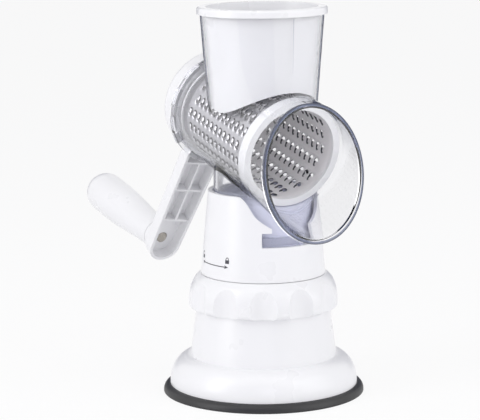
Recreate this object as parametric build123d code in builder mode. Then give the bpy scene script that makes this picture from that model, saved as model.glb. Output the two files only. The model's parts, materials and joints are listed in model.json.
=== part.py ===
from build123d import *
from math import acos, asin, cos, degrees, radians, sin, tan
import os

os.makedirs("parts", exist_ok=True)

# Hand cranked drum shredder on a suction foot, in millimetres.
# +Z is up and the origin is the centre of the suction pad's underside, on the worktop.
# The mouth faces -Y and the crank is at the back, at +Y.

# ---------------------------------------------------------------- driving dimensions

# Suction pad and the bell that stands on it
PAD_RADIUS = 62.5
PAD_HEIGHT = 5.1
MEMBRANE = 2.2
MEMBRANE_RADIUS = 40.0
LIP_INNER = 50.0
LIP_SHOULDER = 58.6
GROOVE_RADIUS = 51.5
GROOVE_DEPTH = 0.9
BELL_RIM_RADIUS = 58.3
BELL_LIP = 1.5
SHOULDER_RADIUS = 45.4
SHOULDER_Z = 23.2
BELL_TOP_RADIUS = 41.6
BELL_TOP_Z = 52.9
BELL_WALL = 2.6
BELL_ROOF = 3.0
GUIDE_RADIUS = 13.0
GUIDE_BOTTOM_Z = 14.0
COLLAR_OUTER = 36.0
COLLAR_INNER = 31.2
COLLAR_Z = 56.2
WASHER = 0.8

# Lock ring with its finger lobes
RING_BOTTOM_Z = 53.3
RING_TOP_Z = 74.7
RING_RADIUS = 46.7
RING_TOP_RADIUS = 39.4
RING_FOOT_INNER = 38.6
RING_FOOT_OUTER = 44.6
RING_WEB = 3.0
RING_LOBES = 12
RING_PHASE = 13.7
FLUTE_RADIUS = 14.0
FLUTE_DEPTH = 3.6
LOCK_TURN = 40.0

# Suction stem and the cams that raise it
STEM_RADIUS = 8.2
STEM_TOP_Z = 70.5
STEM_LIFT = 3.0
STEM_PLATE_RADIUS = 19.0
STEM_PLATE = 2.0
KEY_WIDTH = 3.0
KEY_REACH = 10.2
KEY_BOTTOM_Z = 15.0
KEY_HEIGHT = 30.0
CAM_REST_Z = 63.0
CAM_INNER = 9.4
CAM_OUTER = 15.6
CROSS_PIN_RADIUS = 2.0
CROSS_PIN_LENGTH = 31.0

# Tower
TOWER_BOTTOM_Z = 75.0
TOWER_FLOOR_Z = 66.0
TOWER_TOP_Z = 126.6
TOWER_BOTTOM_RADIUS = 38.6
TOWER_TOP_RADIUS = 33.9
TOWER_WALL = 2.6
SPIGOT_RADIUS = 36.2
POST_CIRCLE = 26.0
POST_RADIUS = 4.2
POST_ANGLES = (30.0, 150.0, 270.0)
SCREW_RADIUS = 1.65
SCREW_LENGTH = 24.0
SCREW_HEAD_RADIUS = 3.4
SCREW_HEAD = 2.4
SCREW_RECESS_RADIUS = 4.4
SCREW_RECESS_Z = 30.0
BOSS_HEIGHT = 14.0
RIB_HALF = 1.0
RIB_TURNS = (0, 60, 120, 180, 210, 330)

# Bayonet window in the front of the tower, angles from -Y towards +X
WINDOW_HALF_ANGLE = 22.6
WINDOW_FOOT_ANGLE = -32.4
WINDOW_BOTTOM_Z = 96.2
WINDOW_STEP_Z = 105.0
FOOT_RADIUS = 30.4
FOOT_WALL = 2.2
FOOT_BOTTOM_Z = 92.1
LUG_FROM_ANGLE = -31.6
LUG_TO_ANGLE = 11.6
LUG_TOP_Z = 102.0
LUG_RADIUS = 35.2

# Drum axis: level with AXIS_Z over the foot's centre, dipping TILT towards the mouth.
# Places along the axis are counted from there, positive towards the mouth.
AXIS_Z = 160.5
TILT = 13.4

# Clear housing
TUBE_REAR = -52.0
TUBE_FRONT = 38.0
TUBE_REAR_RADIUS = 34.4
TUBE_FRONT_RADIUS = 35.6
TUBE_WALL = 2.1
FLANGE_RADIUS = 36.6
FLANGE_THICKNESS = 4.0
FLANGE_GAPS = 12
GAP_WIDTH = 7.2
LUG_THICKNESS = 2.1
PLATE_THICKNESS = 2.6
PLATE_RIBS = 8
PLATE_RIB_END = 28.0
PLATE_RIB_WIDTH = 1.4
PLATE_RIB_HEIGHT = 1.8
MOUTH_CENTRE_Y = -59.1
MOUTH_CENTRE_Z = 143.9
MOUTH_LEAN = 8.1
MOUTH_HALF_WIDTH = 35.1
MOUTH_HALF_HEIGHT = 42.1
MOUTH_LIP = 0.8
MOUTH_LIP_DEPTH = 2.6

# Hopper, an oval funnel straight above the drum
HOPPER_TOP_Z = 235.0
HOPPER_HALF_X = 38.7
HOPPER_HALF_Y = 36.4
HOPPER_SLOPE_X = 0.0915
HOPPER_SLOPE_Y = 0.037
HOPPER_WALL = 2.0

# Pusher
PUSHER_GAP = 0.35
PUSHER_WALL = 1.6
PUSHER_RIM_HEIGHT = 4.6
PUSHER_RIM_OUT = 1.9
DRUM_CLEARANCE = 5.2

# Drum
SCREEN_REAR = -47.0
SCREEN_FRONT = 33.9
SCREEN_REAR_RADIUS = 28.7
SCREEN_FRONT_RADIUS = 30.7
SCREEN_SHEET = 0.6
TOOTH_ROWS = 20
ROW_PHASE = 11.0
TEETH_PER_ROW = 12
TOOTH_PITCH = 5.45
FIRST_TOOTH = -38.6
STAGGER_CYCLE = 3
TOOTH_WIDTH = 4.2
TOOTH_LENGTH = 5.6
TOOTH_HEIGHT = 1.35
TOOTH_SKIN = 0.45
FRONT_RING_REAR = 29.3
FRONT_RING_FRONT = 36.3
FRONT_RING_RADIUS = 32.9
FRONT_RING_INNER = 28.6

# Drive
JOURNAL_RADIUS = 11.0
JOURNAL_REAR = -57.0
JOURNAL_FRONT = -48.5
SLEEVE_RADIUS = 14.6
SLEEVE_REAR = -56.5
SLEEVE_FRONT = -48.8
DRIVE_REAR = -62.0
DRIVE_KEY_FLATS = 16.0
HUB_FRONT = -33.0
HUB_PLATE = 3.0
HUB_BOSS_RADIUS = 13.0
HUB_RIBS = 6
HUB_RIM = 1.2
BEAD_RADIUS = 8.9
SPLIT_WIDTH = 1.4
SPLIT_DEPTH = 12.0
DRIVE_BORE = 4.4
HUB_SCREW_RADIUS = 2.0
HUB_SCREW_HEAD = 4.6
HUB_SCREW_HEAD_HEIGHT = 2.9
HUB_CAP_RADIUS = 9.0
HUB_CAP_DEPTH = 1.8
DRIVE_FLATS = 14.0
RUNNING_GAP = 0.08
SOCKET_GAP = 0.15

# Crank: a round cap, and an arm that leans away from the tower
CRANK_ANGLE = 7.5
ARM_LEAN = 16.3
CAP_RADIUS = 33.5
CAP_FRONT = -54.7
CAP_BACK = -68.7
CAP_WALL = 2.4
CAP_ROUNDING = 5.0
ARM_FRONT = -56.5
ARM_THICKNESS = 9.9
ARM_WALL = 2.0
ARM_FLOOR = 2.0
ARM_ROOT_HALF = 12.9
ARM_END_HALF = 10.8
ARM_END_REACH = 107.3
ARM_ROUNDING = 1.8
RIB_REACHES = (42.5, 63.5, 87.0)
RIB_THICKNESS = 1.5
RIB_DROP = 1.3
KNOB_REACH = 103.0
KNOB_SEAT = -90.6

# Knob
KNOB_BASE_RADIUS = 9.9
KNOB_WAIST_RADIUS = 11.6
KNOB_RADIUS = 13.4
KNOB_STRAIGHT = 74.3
KNOB_LENGTH = 87.5
KNOB_BORE = 3.1
KNOB_CORE_START = 10.0
KNOB_CORE_END = 62.0
KNOB_NUT_SEAT = 72.0
SPINDLE_RADIUS = 3.0
SPINDLE_HEAD_RADIUS = 3.7
KNOB_PLUG_RADIUS = 7.0
KNOB_PLUG_LENGTH = 3.4
NUT_RADIUS = 6.2

# ---------------------------------------------------------------- planes and helpers

drum_origin = Vector(0, 0, AXIS_Z)
drum_dir = Vector(0, -cos(radians(TILT)), -sin(radians(TILT)))
drum_up = Vector(0, -sin(radians(TILT)), cos(radians(TILT)))
drum_axis = Axis(drum_origin, drum_dir)
# Across the axis, seen from the mouth: local z runs along the axis.
across_drum = Plane(origin=drum_origin, x_dir=(1, 0, 0), z_dir=drum_dir)
# Half section: local x is the radius and local y the place along the axis.
along_drum = Plane(origin=drum_origin, x_dir=(1, 0, 0), z_dir=drum_up * -1)
mouth_lean = radians(MOUTH_LEAN)
mouth_plane = Plane(
    origin=(0, MOUTH_CENTRE_Y, MOUTH_CENTRE_Z),
    x_dir=(1, 0, 0),
    z_dir=(0, -cos(mouth_lean), sin(mouth_lean)),
)

# The crank hangs in its own frame: outward along the arm, and square across it.
arm_out = Vector(-sin(radians(CRANK_ANGLE)), 0, 0) - drum_up * cos(radians(CRANK_ANGLE))
arm_side = arm_out.cross(drum_dir)
lean = radians(ARM_LEAN)
arm_normal = drum_dir * cos(lean) + arm_out * sin(lean)
arm_plane_place = ARM_FRONT + tan(lean) * CAP_RADIUS
arm_plane = Plane(
    origin=drum_origin + drum_dir * arm_plane_place, x_dir=arm_side, z_dir=arm_normal
)
# Half section through the knob's own axis, which is parallel to the drum's.
knob_origin = drum_origin + arm_out * KNOB_REACH
knob_axis = Axis(knob_origin, drum_dir)
along_knob = Plane(origin=knob_origin, x_dir=arm_side, z_dir=arm_side.cross(drum_dir))
across_knob = Plane(origin=knob_origin, x_dir=arm_side, z_dir=drum_dir)
knob_start = KNOB_SEAT - 0.4
knob_dome = knob_start - KNOB_STRAIGHT
knob_end = knob_start - KNOB_LENGTH
dome_cut = degrees(acos(KNOB_PLUG_RADIUS / KNOB_RADIUS))
plug_edge = knob_dome - (knob_dome - knob_end) * sin(radians(dome_cut))


def tube_radius(place):
    """Outer radius of the clear tube, which opens a little towards the mouth."""
    share = (place - TUBE_REAR) / (TUBE_FRONT - TUBE_REAR)
    return TUBE_REAR_RADIUS + share * (TUBE_FRONT_RADIUS - TUBE_REAR_RADIUS)


def screen_radius(place):
    """Outer radius of the shredding screen, a slight cone."""
    share = (place - SCREEN_REAR) / (SCREEN_FRONT - SCREEN_REAR)
    return SCREEN_REAR_RADIUS + share * (SCREEN_FRONT_RADIUS - SCREEN_REAR_RADIUS)


def hopper_half_x(height):
    """Half width of the hopper's outside at a height."""
    return HOPPER_HALF_X - HOPPER_SLOPE_X * (HOPPER_TOP_Z - height)


def hopper_half_y(height):
    """Half depth of the hopper's outside at a height."""
    return HOPPER_HALF_Y - HOPPER_SLOPE_Y * (HOPPER_TOP_Z - height)


def arc_band(inner, outer, from_angle, to_angle):
    """Part of a flat ring, its angles counted from -Y towards +X."""
    corners = [(0, 0)]
    steps = 4
    for step in range(steps + 1):
        angle = radians(from_angle + (to_angle - from_angle) * step / steps)
        corners.append((1.2 * outer * sin(angle), -1.2 * outer * cos(angle)))
    Polygon(*corners, align=None)
    Circle(outer, mode=Mode.INTERSECT)
    Circle(inner, mode=Mode.SUBTRACT)


def funnel(inset, low, high):
    """Oval funnel that follows the hopper's taper, drawn in by an inset."""
    with BuildPart() as body:
        for height in (low, high):
            with BuildSketch(Plane.XY.offset(height)):
                Ellipse(hopper_half_x(height) - inset, hopper_half_y(height) - inset)
        loft()
    return body.part


def finish(body, name):
    """Label the piece and write its file."""
    body.part.label = name
    export_step(body.part, f"parts/{name}.step")


# ---------------------------------------------------------------- suction foot

# Black rubber pad: a thin flat membrane, a sealing groove and a thick outer lip.
with BuildPart() as suction_pad:
    with BuildSketch(Plane.XZ):
        with BuildLine():
            Polyline(
                (LIP_SHOULDER, PAD_HEIGHT),
                (LIP_INNER, PAD_HEIGHT),
                (LIP_INNER - 3.0, MEMBRANE + 0.6),
                (MEMBRANE_RADIUS, MEMBRANE),
                (0, MEMBRANE),
                (0, 0),
                (GROOVE_RADIUS - 1.5, 0),
                (GROOVE_RADIUS - 0.9, GROOVE_DEPTH),
                (GROOVE_RADIUS + 0.9, GROOVE_DEPTH),
                (GROOVE_RADIUS + 1.5, 0),
                (PAD_RADIUS, 0),
                (PAD_RADIUS, 1.0),
            )
            ThreePointArc(
                (PAD_RADIUS, 1.0), (PAD_RADIUS - 1.1, 3.6), (LIP_SHOULDER, PAD_HEIGHT)
            )
        make_face()
    revolve(axis=Axis.Z)
finish(suction_pad, "suction_pad")

# Stem: a plate on the membrane and a keyed shaft that slides up the bell's guide.
plate_z = MEMBRANE + 0.3
pin_z = CAM_REST_Z + 0.4 + CROSS_PIN_RADIUS
with BuildPart() as suction_stem:
    with BuildSketch(Plane.XZ):
        Polygon(
            (0, plate_z),
            (STEM_PLATE_RADIUS, plate_z),
            (STEM_PLATE_RADIUS, plate_z + STEM_PLATE),
            (STEM_RADIUS, plate_z + 5.0),
            (STEM_RADIUS, STEM_TOP_Z),
            (0, STEM_TOP_Z),
            align=None,
        )
    revolve(axis=Axis.Z)
    with BuildSketch(Plane.XY.offset(KEY_BOTTOM_Z)):
        Rectangle(KEY_WIDTH, 2 * KEY_REACH)
    extrude(amount=KEY_HEIGHT)
    with BuildSketch(Plane.YZ):
        with Locations((0, pin_z)):
            Circle(CROSS_PIN_RADIUS)
    extrude(amount=2 * STEM_RADIUS, both=True, mode=Mode.SUBTRACT)
finish(suction_stem, "suction_stem")

# Steel cross pin through the stem: its two ends ride on the ring's cams.
with BuildPart() as cross_pin:
    with BuildSketch(Plane.YZ):
        with Locations((0, pin_z)):
            Circle(CROSS_PIN_RADIUS)
    extrude(amount=CROSS_PIN_LENGTH / 2, both=True)
    chamfer(cross_pin.edges().filter_by(GeomType.CIRCLE), 0.4)
finish(cross_pin, "cross_pin")

# Bell: a thin domed skirt, a plain cone above it, a guide tube and three posts.
post_spots = PolarLocations(POST_CIRCLE, 3, start_angle=POST_ANGLES[0])
bell_ceiling_z = BELL_TOP_Z - BELL_ROOF
with BuildPart() as base_bell:
    with BuildSketch(Plane.XZ):
        with BuildLine():
            flare_width = BELL_RIM_RADIUS - SHOULDER_RADIUS
            flare_z = PAD_HEIGHT + BELL_LIP
            Polyline((BELL_RIM_RADIUS, PAD_HEIGHT), (BELL_RIM_RADIUS, flare_z))
            EllipticalCenterArc(
                (SHOULDER_RADIUS, flare_z), flare_width, SHOULDER_Z - flare_z, arc_size=90
            )
            Polyline(
                (SHOULDER_RADIUS, SHOULDER_Z),
                (BELL_TOP_RADIUS, BELL_TOP_Z),
                (COLLAR_OUTER, BELL_TOP_Z),
                (COLLAR_OUTER, COLLAR_Z),
                (COLLAR_INNER, COLLAR_Z),
                (COLLAR_INNER, BELL_TOP_Z),
                (STEM_RADIUS + RUNNING_GAP, BELL_TOP_Z),
                (STEM_RADIUS + RUNNING_GAP, GUIDE_BOTTOM_Z),
                (GUIDE_RADIUS, GUIDE_BOTTOM_Z),
                (GUIDE_RADIUS, bell_ceiling_z),
                (BELL_TOP_RADIUS - BELL_WALL, bell_ceiling_z),
                (SHOULDER_RADIUS - BELL_WALL, SHOULDER_Z - BELL_WALL),
                (SHOULDER_RADIUS, SHOULDER_Z - BELL_WALL),
            )
            EllipticalCenterArc(
                (SHOULDER_RADIUS, flare_z),
                flare_width - BELL_WALL,
                SHOULDER_Z - BELL_WALL - flare_z,
                arc_size=90,
            )
            Polyline(
                (BELL_RIM_RADIUS - BELL_WALL, flare_z),
                (BELL_RIM_RADIUS - BELL_WALL, PAD_HEIGHT),
                (BELL_RIM_RADIUS, PAD_HEIGHT),
            )
        make_face()
    revolve(axis=Axis.Z)
    # Keyways in the guide tube
    with BuildSketch(Plane.XY.offset(GUIDE_BOTTOM_Z)):
        Rectangle(KEY_WIDTH + 2 * RUNNING_GAP, 2 * (KEY_REACH + RUNNING_GAP))
    extrude(amount=bell_ceiling_z - GUIDE_BOTTOM_Z, mode=Mode.SUBTRACT)
    # Ribs that stiffen the skirt from inside
    with BuildSketch(Plane.XZ):
        Polygon(
            (GUIDE_RADIUS - 1.0, BELL_TOP_Z - 2.0),
            (BELL_TOP_RADIUS - 1.5, BELL_TOP_Z - 2.0),
            (SHOULDER_RADIUS - 2.0, SCREW_RECESS_Z),
            (GUIDE_RADIUS - 1.0, bell_ceiling_z - 6.0),
            align=None,
        )
    stiffener = extrude(amount=0.9, both=True, mode=Mode.PRIVATE)
    for turn in (0, 60, 120, 180, 240, 300):
        add(stiffener.rotate(Axis.Z, turn))
    # Posts that pass through the lock ring and carry the tower
    with BuildSketch(Plane.XY.offset(BELL_TOP_Z - 1.0)):
        with post_spots:
            Circle(POST_RADIUS)
    extrude(amount=TOWER_FLOOR_Z - BELL_TOP_Z + 1.0)
    with BuildSketch(Plane.XY.offset(bell_ceiling_z)):
        with post_spots:
            Circle(SCREW_RADIUS + 0.05)
    extrude(amount=TOWER_FLOOR_Z - bell_ceiling_z, mode=Mode.SUBTRACT)
    with BuildSketch(Plane.XY.offset(SCREW_RECESS_Z)):
        with post_spots:
            Circle(SCREW_RECESS_RADIUS)
    extrude(amount=bell_ceiling_z - SCREW_RECESS_Z, mode=Mode.SUBTRACT)
finish(base_bell, "base_bell")

# ---------------------------------------------------------------- lock ring

# Slippery washer between the ring's web and the bell
with BuildPart() as glide_washer:
    with BuildSketch(Plane.XY.offset(COLLAR_Z)):
        Circle(COLLAR_OUTER - 0.2)
        Circle(COLLAR_INNER + 0.1, mode=Mode.SUBTRACT)
    extrude(amount=WASHER)
finish(glide_washer, "glide_washer")

# Fluted grip ring, its web with three arc slots for the posts, and a hub with two cams
web_z = COLLAR_Z + WASHER + 0.05
slot_margin = degrees(asin(POST_RADIUS / POST_CIRCLE)) + 1.6
cam_stations = (-LOCK_TURN - 14.0, -LOCK_TURN, -30.0, -20.0, -10.0, 0.0, 6.0, 16.0)
cam_low = CAM_REST_Z - 2.0
with BuildPart() as cam_ramps:
    # Each cam climbs a helix: level at rest, then up by the stem's lift
    for side in (0, 180):
        for start, end in zip(cam_stations, cam_stations[1:]):
            for turn in (start, end):
                climb = min(max(-turn / LOCK_TURN, 0), 1) * STEM_LIFT
                heading = radians(turn + side)
                outward = (cos(heading), sin(heading), 0)
                with BuildSketch(Plane((0, 0, 0), outward, (sin(heading), -cos(heading), 0))):
                    Polygon(
                        (CAM_INNER - 2.0, cam_low),
                        (CAM_OUTER + 2.0, cam_low),
                        (CAM_OUTER + 2.0, CAM_REST_Z + climb),
                        (CAM_INNER - 2.0, CAM_REST_Z + climb),
                        align=None,
                    )
            loft(ruled=True)
    with BuildSketch(Plane.XY.offset(cam_low)):
        Circle(CAM_OUTER)
        Circle(CAM_INNER, mode=Mode.SUBTRACT)
    extrude(amount=STEM_LIFT + 3.0, mode=Mode.INTERSECT)

with BuildPart() as lock_ring:
    with BuildSketch(Plane.XZ):
        with BuildLine():
            Polyline(
                (RING_TOP_RADIUS, RING_TOP_Z),
                (SPIGOT_RADIUS + RUNNING_GAP, RING_TOP_Z),
                (SPIGOT_RADIUS + RUNNING_GAP, web_z + RING_WEB),
                (CAM_INNER, web_z + RING_WEB),
                (CAM_INNER, web_z),
                (RING_FOOT_INNER - 1.1, web_z),
                (RING_FOOT_INNER, RING_BOTTOM_Z),
                (RING_FOOT_OUTER, RING_BOTTOM_Z),
            )
            ThreePointArc(
                (RING_FOOT_OUTER, RING_BOTTOM_Z), (RING_RADIUS - 0.6, 54.4), (RING_RADIUS, 57.2)
            )
            ThreePointArc(
                (RING_RADIUS, 57.2), (RING_RADIUS - 1.1, 66.4), (RING_TOP_RADIUS, RING_TOP_Z)
            )
        make_face()
    revolve(axis=Axis.Z)
    # Finger flutes: upright scoops whose tops run out on the sloping shoulder
    with BuildSketch(Plane.XY.offset(RING_BOTTOM_Z - 1.0)):
        flute_circle = RING_RADIUS - FLUTE_DEPTH + FLUTE_RADIUS
        flute_start = RING_PHASE + 180.0 / RING_LOBES - 90.0
        with PolarLocations(flute_circle, RING_LOBES, start_angle=flute_start):
            Circle(FLUTE_RADIUS)
    extrude(amount=RING_TOP_Z - RING_BOTTOM_Z + 2.0, mode=Mode.SUBTRACT)
    # Arc slots for the posts, long enough for the whole turn
    for post_angle in POST_ANGLES:
        with BuildSketch(Plane.XY.offset(web_z - 1.0)):
            middle = post_angle + 90.0 - LOCK_TURN / 2
            half_span = LOCK_TURN / 2 + slot_margin
            slot_half = POST_RADIUS + 0.5
            arc_band(
                POST_CIRCLE - slot_half,
                POST_CIRCLE + slot_half,
                middle - half_span,
                middle + half_span,
            )
        extrude(amount=RING_WEB + 2.0, mode=Mode.SUBTRACT)
    # Hub under the cams
    with BuildSketch(Plane.XY.offset(web_z)):
        Circle(CAM_OUTER + 1.6)
        Circle(CAM_INNER, mode=Mode.SUBTRACT)
    extrude(amount=CAM_REST_Z - web_z - 0.6)
    add(cam_ramps.part)
finish(lock_ring, "lock_ring")

# ---------------------------------------------------------------- tower

notch_points = [(-28.6, 127.4), (-24.4, 120.3), (-21.7, 114.5), (-17.5, 110.4), (-13.6, 107.6)]
with BuildPart() as tower:
    with BuildSketch(Plane.XZ):
        Polygon(
            (SPIGOT_RADIUS, TOWER_FLOOR_Z),
            (SPIGOT_RADIUS, TOWER_BOTTOM_Z),
            (TOWER_BOTTOM_RADIUS, TOWER_BOTTOM_Z),
            (TOWER_TOP_RADIUS, TOWER_TOP_Z),
            (TOWER_TOP_RADIUS - TOWER_WALL, TOWER_TOP_Z),
            (TOWER_BOTTOM_RADIUS - TOWER_WALL - 0.4, TOWER_BOTTOM_Z + 4.0),
            (SPIGOT_RADIUS - TOWER_WALL, TOWER_BOTTOM_Z + 1.0),
            (SPIGOT_RADIUS - TOWER_WALL, TOWER_FLOOR_Z + 3.0),
            (CAM_OUTER + 2.2, TOWER_FLOOR_Z + 3.0),
            (CAM_OUTER + 2.2, TOWER_FLOOR_Z),
            align=None,
        )
    revolve(axis=Axis.Z)
    # Screw bosses over the posts
    with BuildSketch(Plane.XY.offset(TOWER_FLOOR_Z)):
        with post_spots:
            Circle(POST_RADIUS)
    extrude(amount=BOSS_HEIGHT)
    with BuildSketch(Plane.XY.offset(TOWER_FLOOR_Z)):
        with post_spots:
            Circle(SCREW_RADIUS + 0.05)
    extrude(amount=BOSS_HEIGHT - 1.5, mode=Mode.SUBTRACT)
    # Stepped ribs that centre the housing's foot and carry its lower edge
    with BuildSketch(Plane.XZ):
        Polygon(
            (TOWER_TOP_RADIUS - 1.0, TOWER_TOP_Z - 1.5),
            (FOOT_RADIUS + RUNNING_GAP, TOWER_TOP_Z - 3.0),
            (FOOT_RADIUS + RUNNING_GAP, FOOT_BOTTOM_Z),
            (FOOT_RADIUS - 3.0, FOOT_BOTTOM_Z),
            (FOOT_RADIUS - 3.0, TOWER_FLOOR_Z + 2.0),
            (SPIGOT_RADIUS - 1.0, TOWER_FLOOR_Z + 2.0),
            (SPIGOT_RADIUS - 1.0, TOWER_BOTTOM_Z + 2.0),
            (TOWER_BOTTOM_RADIUS - 1.6, TOWER_BOTTOM_Z + 3.0),
            align=None,
        )
    foot_rib = extrude(amount=RIB_HALF, both=True, mode=Mode.PRIVATE)
    for turn in RIB_TURNS:
        add(foot_rib.rotate(Axis.Z, turn))
    # Saddle notch that the sloping tube drops into
    with BuildSketch(Plane.XZ):
        with BuildLine():
            Spline(*notch_points)
            mirrored = [(-x, z) for x, z in notch_points]
            Spline(*mirrored)
            Line(notch_points[-1], mirrored[-1])
            Polyline(notch_points[0], (-34.0, 134.0), (34.0, 134.0), mirrored[0])
        make_face()
    extrude(amount=60.0, mode=Mode.SUBTRACT)
    # Bayonet window: an upright way in, and a foot to its left that holds the lug
    with BuildSketch(Plane.XY.offset(WINDOW_BOTTOM_Z)):
        arc_band(FOOT_RADIUS - 4.0, 50.0, -WINDOW_HALF_ANGLE, WINDOW_HALF_ANGLE)
    extrude(amount=112.0 - WINDOW_BOTTOM_Z, mode=Mode.SUBTRACT)
    with BuildSketch(Plane.XY.offset(WINDOW_BOTTOM_Z)):
        arc_band(FOOT_RADIUS - 4.0, 50.0, WINDOW_FOOT_ANGLE, -WINDOW_HALF_ANGLE + 1.0)
    extrude(amount=WINDOW_STEP_Z - WINDOW_BOTTOM_Z, mode=Mode.SUBTRACT)
finish(tower, "tower")

# Three self-tapping screws, up through the bell's posts into the tower
with BuildPart() as tower_screws:
    upward = (Align.CENTER, Align.CENTER, Align.MIN)
    downward = (Align.CENTER, Align.CENTER, Align.MAX)
    slot_length = 1.25 * SCREW_HEAD_RADIUS
    slot_width = 0.9
    with post_spots:
        with Locations((0, 0, bell_ceiling_z)):
            Cylinder(SCREW_RADIUS, SCREW_LENGTH, align=upward)
            Cylinder(SCREW_HEAD_RADIUS, SCREW_HEAD, align=downward)
        with Locations((0, 0, bell_ceiling_z - SCREW_HEAD)):
            Box(slot_length, slot_width, SCREW_HEAD, mode=Mode.SUBTRACT)
            Box(slot_width, slot_length, SCREW_HEAD, mode=Mode.SUBTRACT)
finish(tower_screws, "tower_screws")

# ---------------------------------------------------------------- clear housing

with BuildPart() as clear_housing:
    # Round foot that plugs into the tower
    with BuildSketch(Plane.XY.offset(FOOT_BOTTOM_Z)):
        Circle(FOOT_RADIUS)
        Circle(FOOT_RADIUS - FOOT_WALL, mode=Mode.SUBTRACT)
    extrude(amount=AXIS_Z - FOOT_BOTTOM_Z)
    # Bayonet lug on the foot
    with BuildSketch(Plane.XY.offset(WINDOW_BOTTOM_Z + 0.4)):
        arc_band(FOOT_RADIUS - 1.0, LUG_RADIUS, LUG_FROM_ANGLE, LUG_TO_ANGLE)
    extrude(amount=LUG_TOP_Z - WINDOW_BOTTOM_Z - 0.4)
    # Outer forms: tube, rear flange, outlet with its lip, and hopper
    with BuildSketch(along_drum):
        Polygon(
            (0, TUBE_REAR),
            (FLANGE_RADIUS, TUBE_REAR),
            (FLANGE_RADIUS, TUBE_REAR + FLANGE_THICKNESS),
            (tube_radius(TUBE_REAR + FLANGE_THICKNESS), TUBE_REAR + FLANGE_THICKNESS),
            (TUBE_FRONT_RADIUS, TUBE_FRONT),
            (0, TUBE_FRONT),
            align=None,
        )
    revolve(axis=drum_axis)
    with BuildSketch(across_drum.offset(TUBE_FRONT)):
        Circle(TUBE_FRONT_RADIUS)
    with BuildSketch(mouth_plane):
        Ellipse(MOUTH_HALF_WIDTH - MOUTH_LIP, MOUTH_HALF_HEIGHT - MOUTH_LIP)
    loft()
    with BuildSketch(mouth_plane.offset(-MOUTH_LIP_DEPTH)):
        Ellipse(MOUTH_HALF_WIDTH, MOUTH_HALF_HEIGHT)
    extrude(amount=MOUTH_LIP_DEPTH)
    add(funnel(0, AXIS_Z, HOPPER_TOP_Z))
    # Hollows, in the same order
    with BuildSketch(along_drum):
        Polygon(
            (0, TUBE_REAR),
            (TUBE_REAR_RADIUS - TUBE_WALL, TUBE_REAR),
            (TUBE_FRONT_RADIUS - TUBE_WALL, TUBE_FRONT),
            (0, TUBE_FRONT),
            align=None,
        )
    revolve(axis=drum_axis, mode=Mode.SUBTRACT)
    with BuildSketch(across_drum.offset(TUBE_FRONT)):
        Circle(TUBE_FRONT_RADIUS - TUBE_WALL)
    with BuildSketch(mouth_plane):
        mouth_wall = MOUTH_LIP + TUBE_WALL
        Ellipse(MOUTH_HALF_WIDTH - mouth_wall, MOUTH_HALF_HEIGHT - mouth_wall)
    loft(mode=Mode.SUBTRACT)
    add(funnel(HOPPER_WALL, AXIS_Z, HOPPER_TOP_Z), mode=Mode.SUBTRACT)
    # Gaps round the flange that key the rear bearing
    with BuildSketch(across_drum.offset(TUBE_REAR)):
        with PolarLocations(TUBE_REAR_RADIUS, FLANGE_GAPS):
            Rectangle(8.0, GAP_WIDTH)
    extrude(amount=LUG_THICKNESS, mode=Mode.SUBTRACT)
finish(clear_housing, "clear_housing")

# White end plate with the crank's bearing; its lugs fill the gaps in the flange
with BuildPart() as rear_bearing:
    with BuildSketch(along_drum):
        Polygon(
            (JOURNAL_RADIUS + RUNNING_GAP, SLEEVE_REAR),
            (JOURNAL_RADIUS + RUNNING_GAP, SLEEVE_FRONT),
            (SLEEVE_RADIUS, SLEEVE_FRONT),
            (SLEEVE_RADIUS, TUBE_REAR + PLATE_THICKNESS),
            (TUBE_REAR_RADIUS - TUBE_WALL - 0.05, TUBE_REAR + PLATE_THICKNESS),
            (TUBE_REAR_RADIUS - TUBE_WALL - 0.05, TUBE_REAR),
            (SLEEVE_RADIUS, TUBE_REAR),
            (SLEEVE_RADIUS, SLEEVE_REAR),
            align=None,
        )
    revolve(axis=drum_axis)
    with BuildSketch(across_drum.offset(TUBE_REAR)):
        with PolarLocations(TUBE_REAR_RADIUS - 0.4, FLANGE_GAPS):
            Rectangle(6.6, GAP_WIDTH - 0.2)
        Circle(CAP_RADIUS - CAP_WALL - 4.0, mode=Mode.SUBTRACT)
    extrude(amount=LUG_THICKNESS - 0.1)
    # Radial ribs on the side that faces the crank
    with BuildSketch(across_drum.offset(TUBE_REAR)):
        with PolarLocations((SLEEVE_RADIUS + PLATE_RIB_END) / 2, PLATE_RIBS):
            Rectangle(PLATE_RIB_END - SLEEVE_RADIUS + 1.0, PLATE_RIB_WIDTH)
    extrude(amount=-PLATE_RIB_HEIGHT)
finish(rear_bearing, "rear_bearing")

# ---------------------------------------------------------------- pusher

pusher_inset = HOPPER_WALL + PUSHER_GAP
rim_top_z = HOPPER_TOP_Z + PUSHER_RIM_HEIGHT
with BuildPart() as pusher_cavity:
    add(funnel(pusher_inset + PUSHER_WALL, AXIS_Z, rim_top_z))
    with BuildSketch(along_drum):
        floor_gap = DRUM_CLEARANCE + PUSHER_WALL + 0.4
        Polygon(
            (0, TUBE_REAR - 10.0),
            (screen_radius(TUBE_REAR - 10.0) + floor_gap, TUBE_REAR - 10.0),
            (screen_radius(TUBE_FRONT + 20.0) + floor_gap, TUBE_FRONT + 20.0),
            (0, TUBE_FRONT + 20.0),
            align=None,
        )
    revolve(axis=drum_axis, mode=Mode.SUBTRACT)

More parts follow.
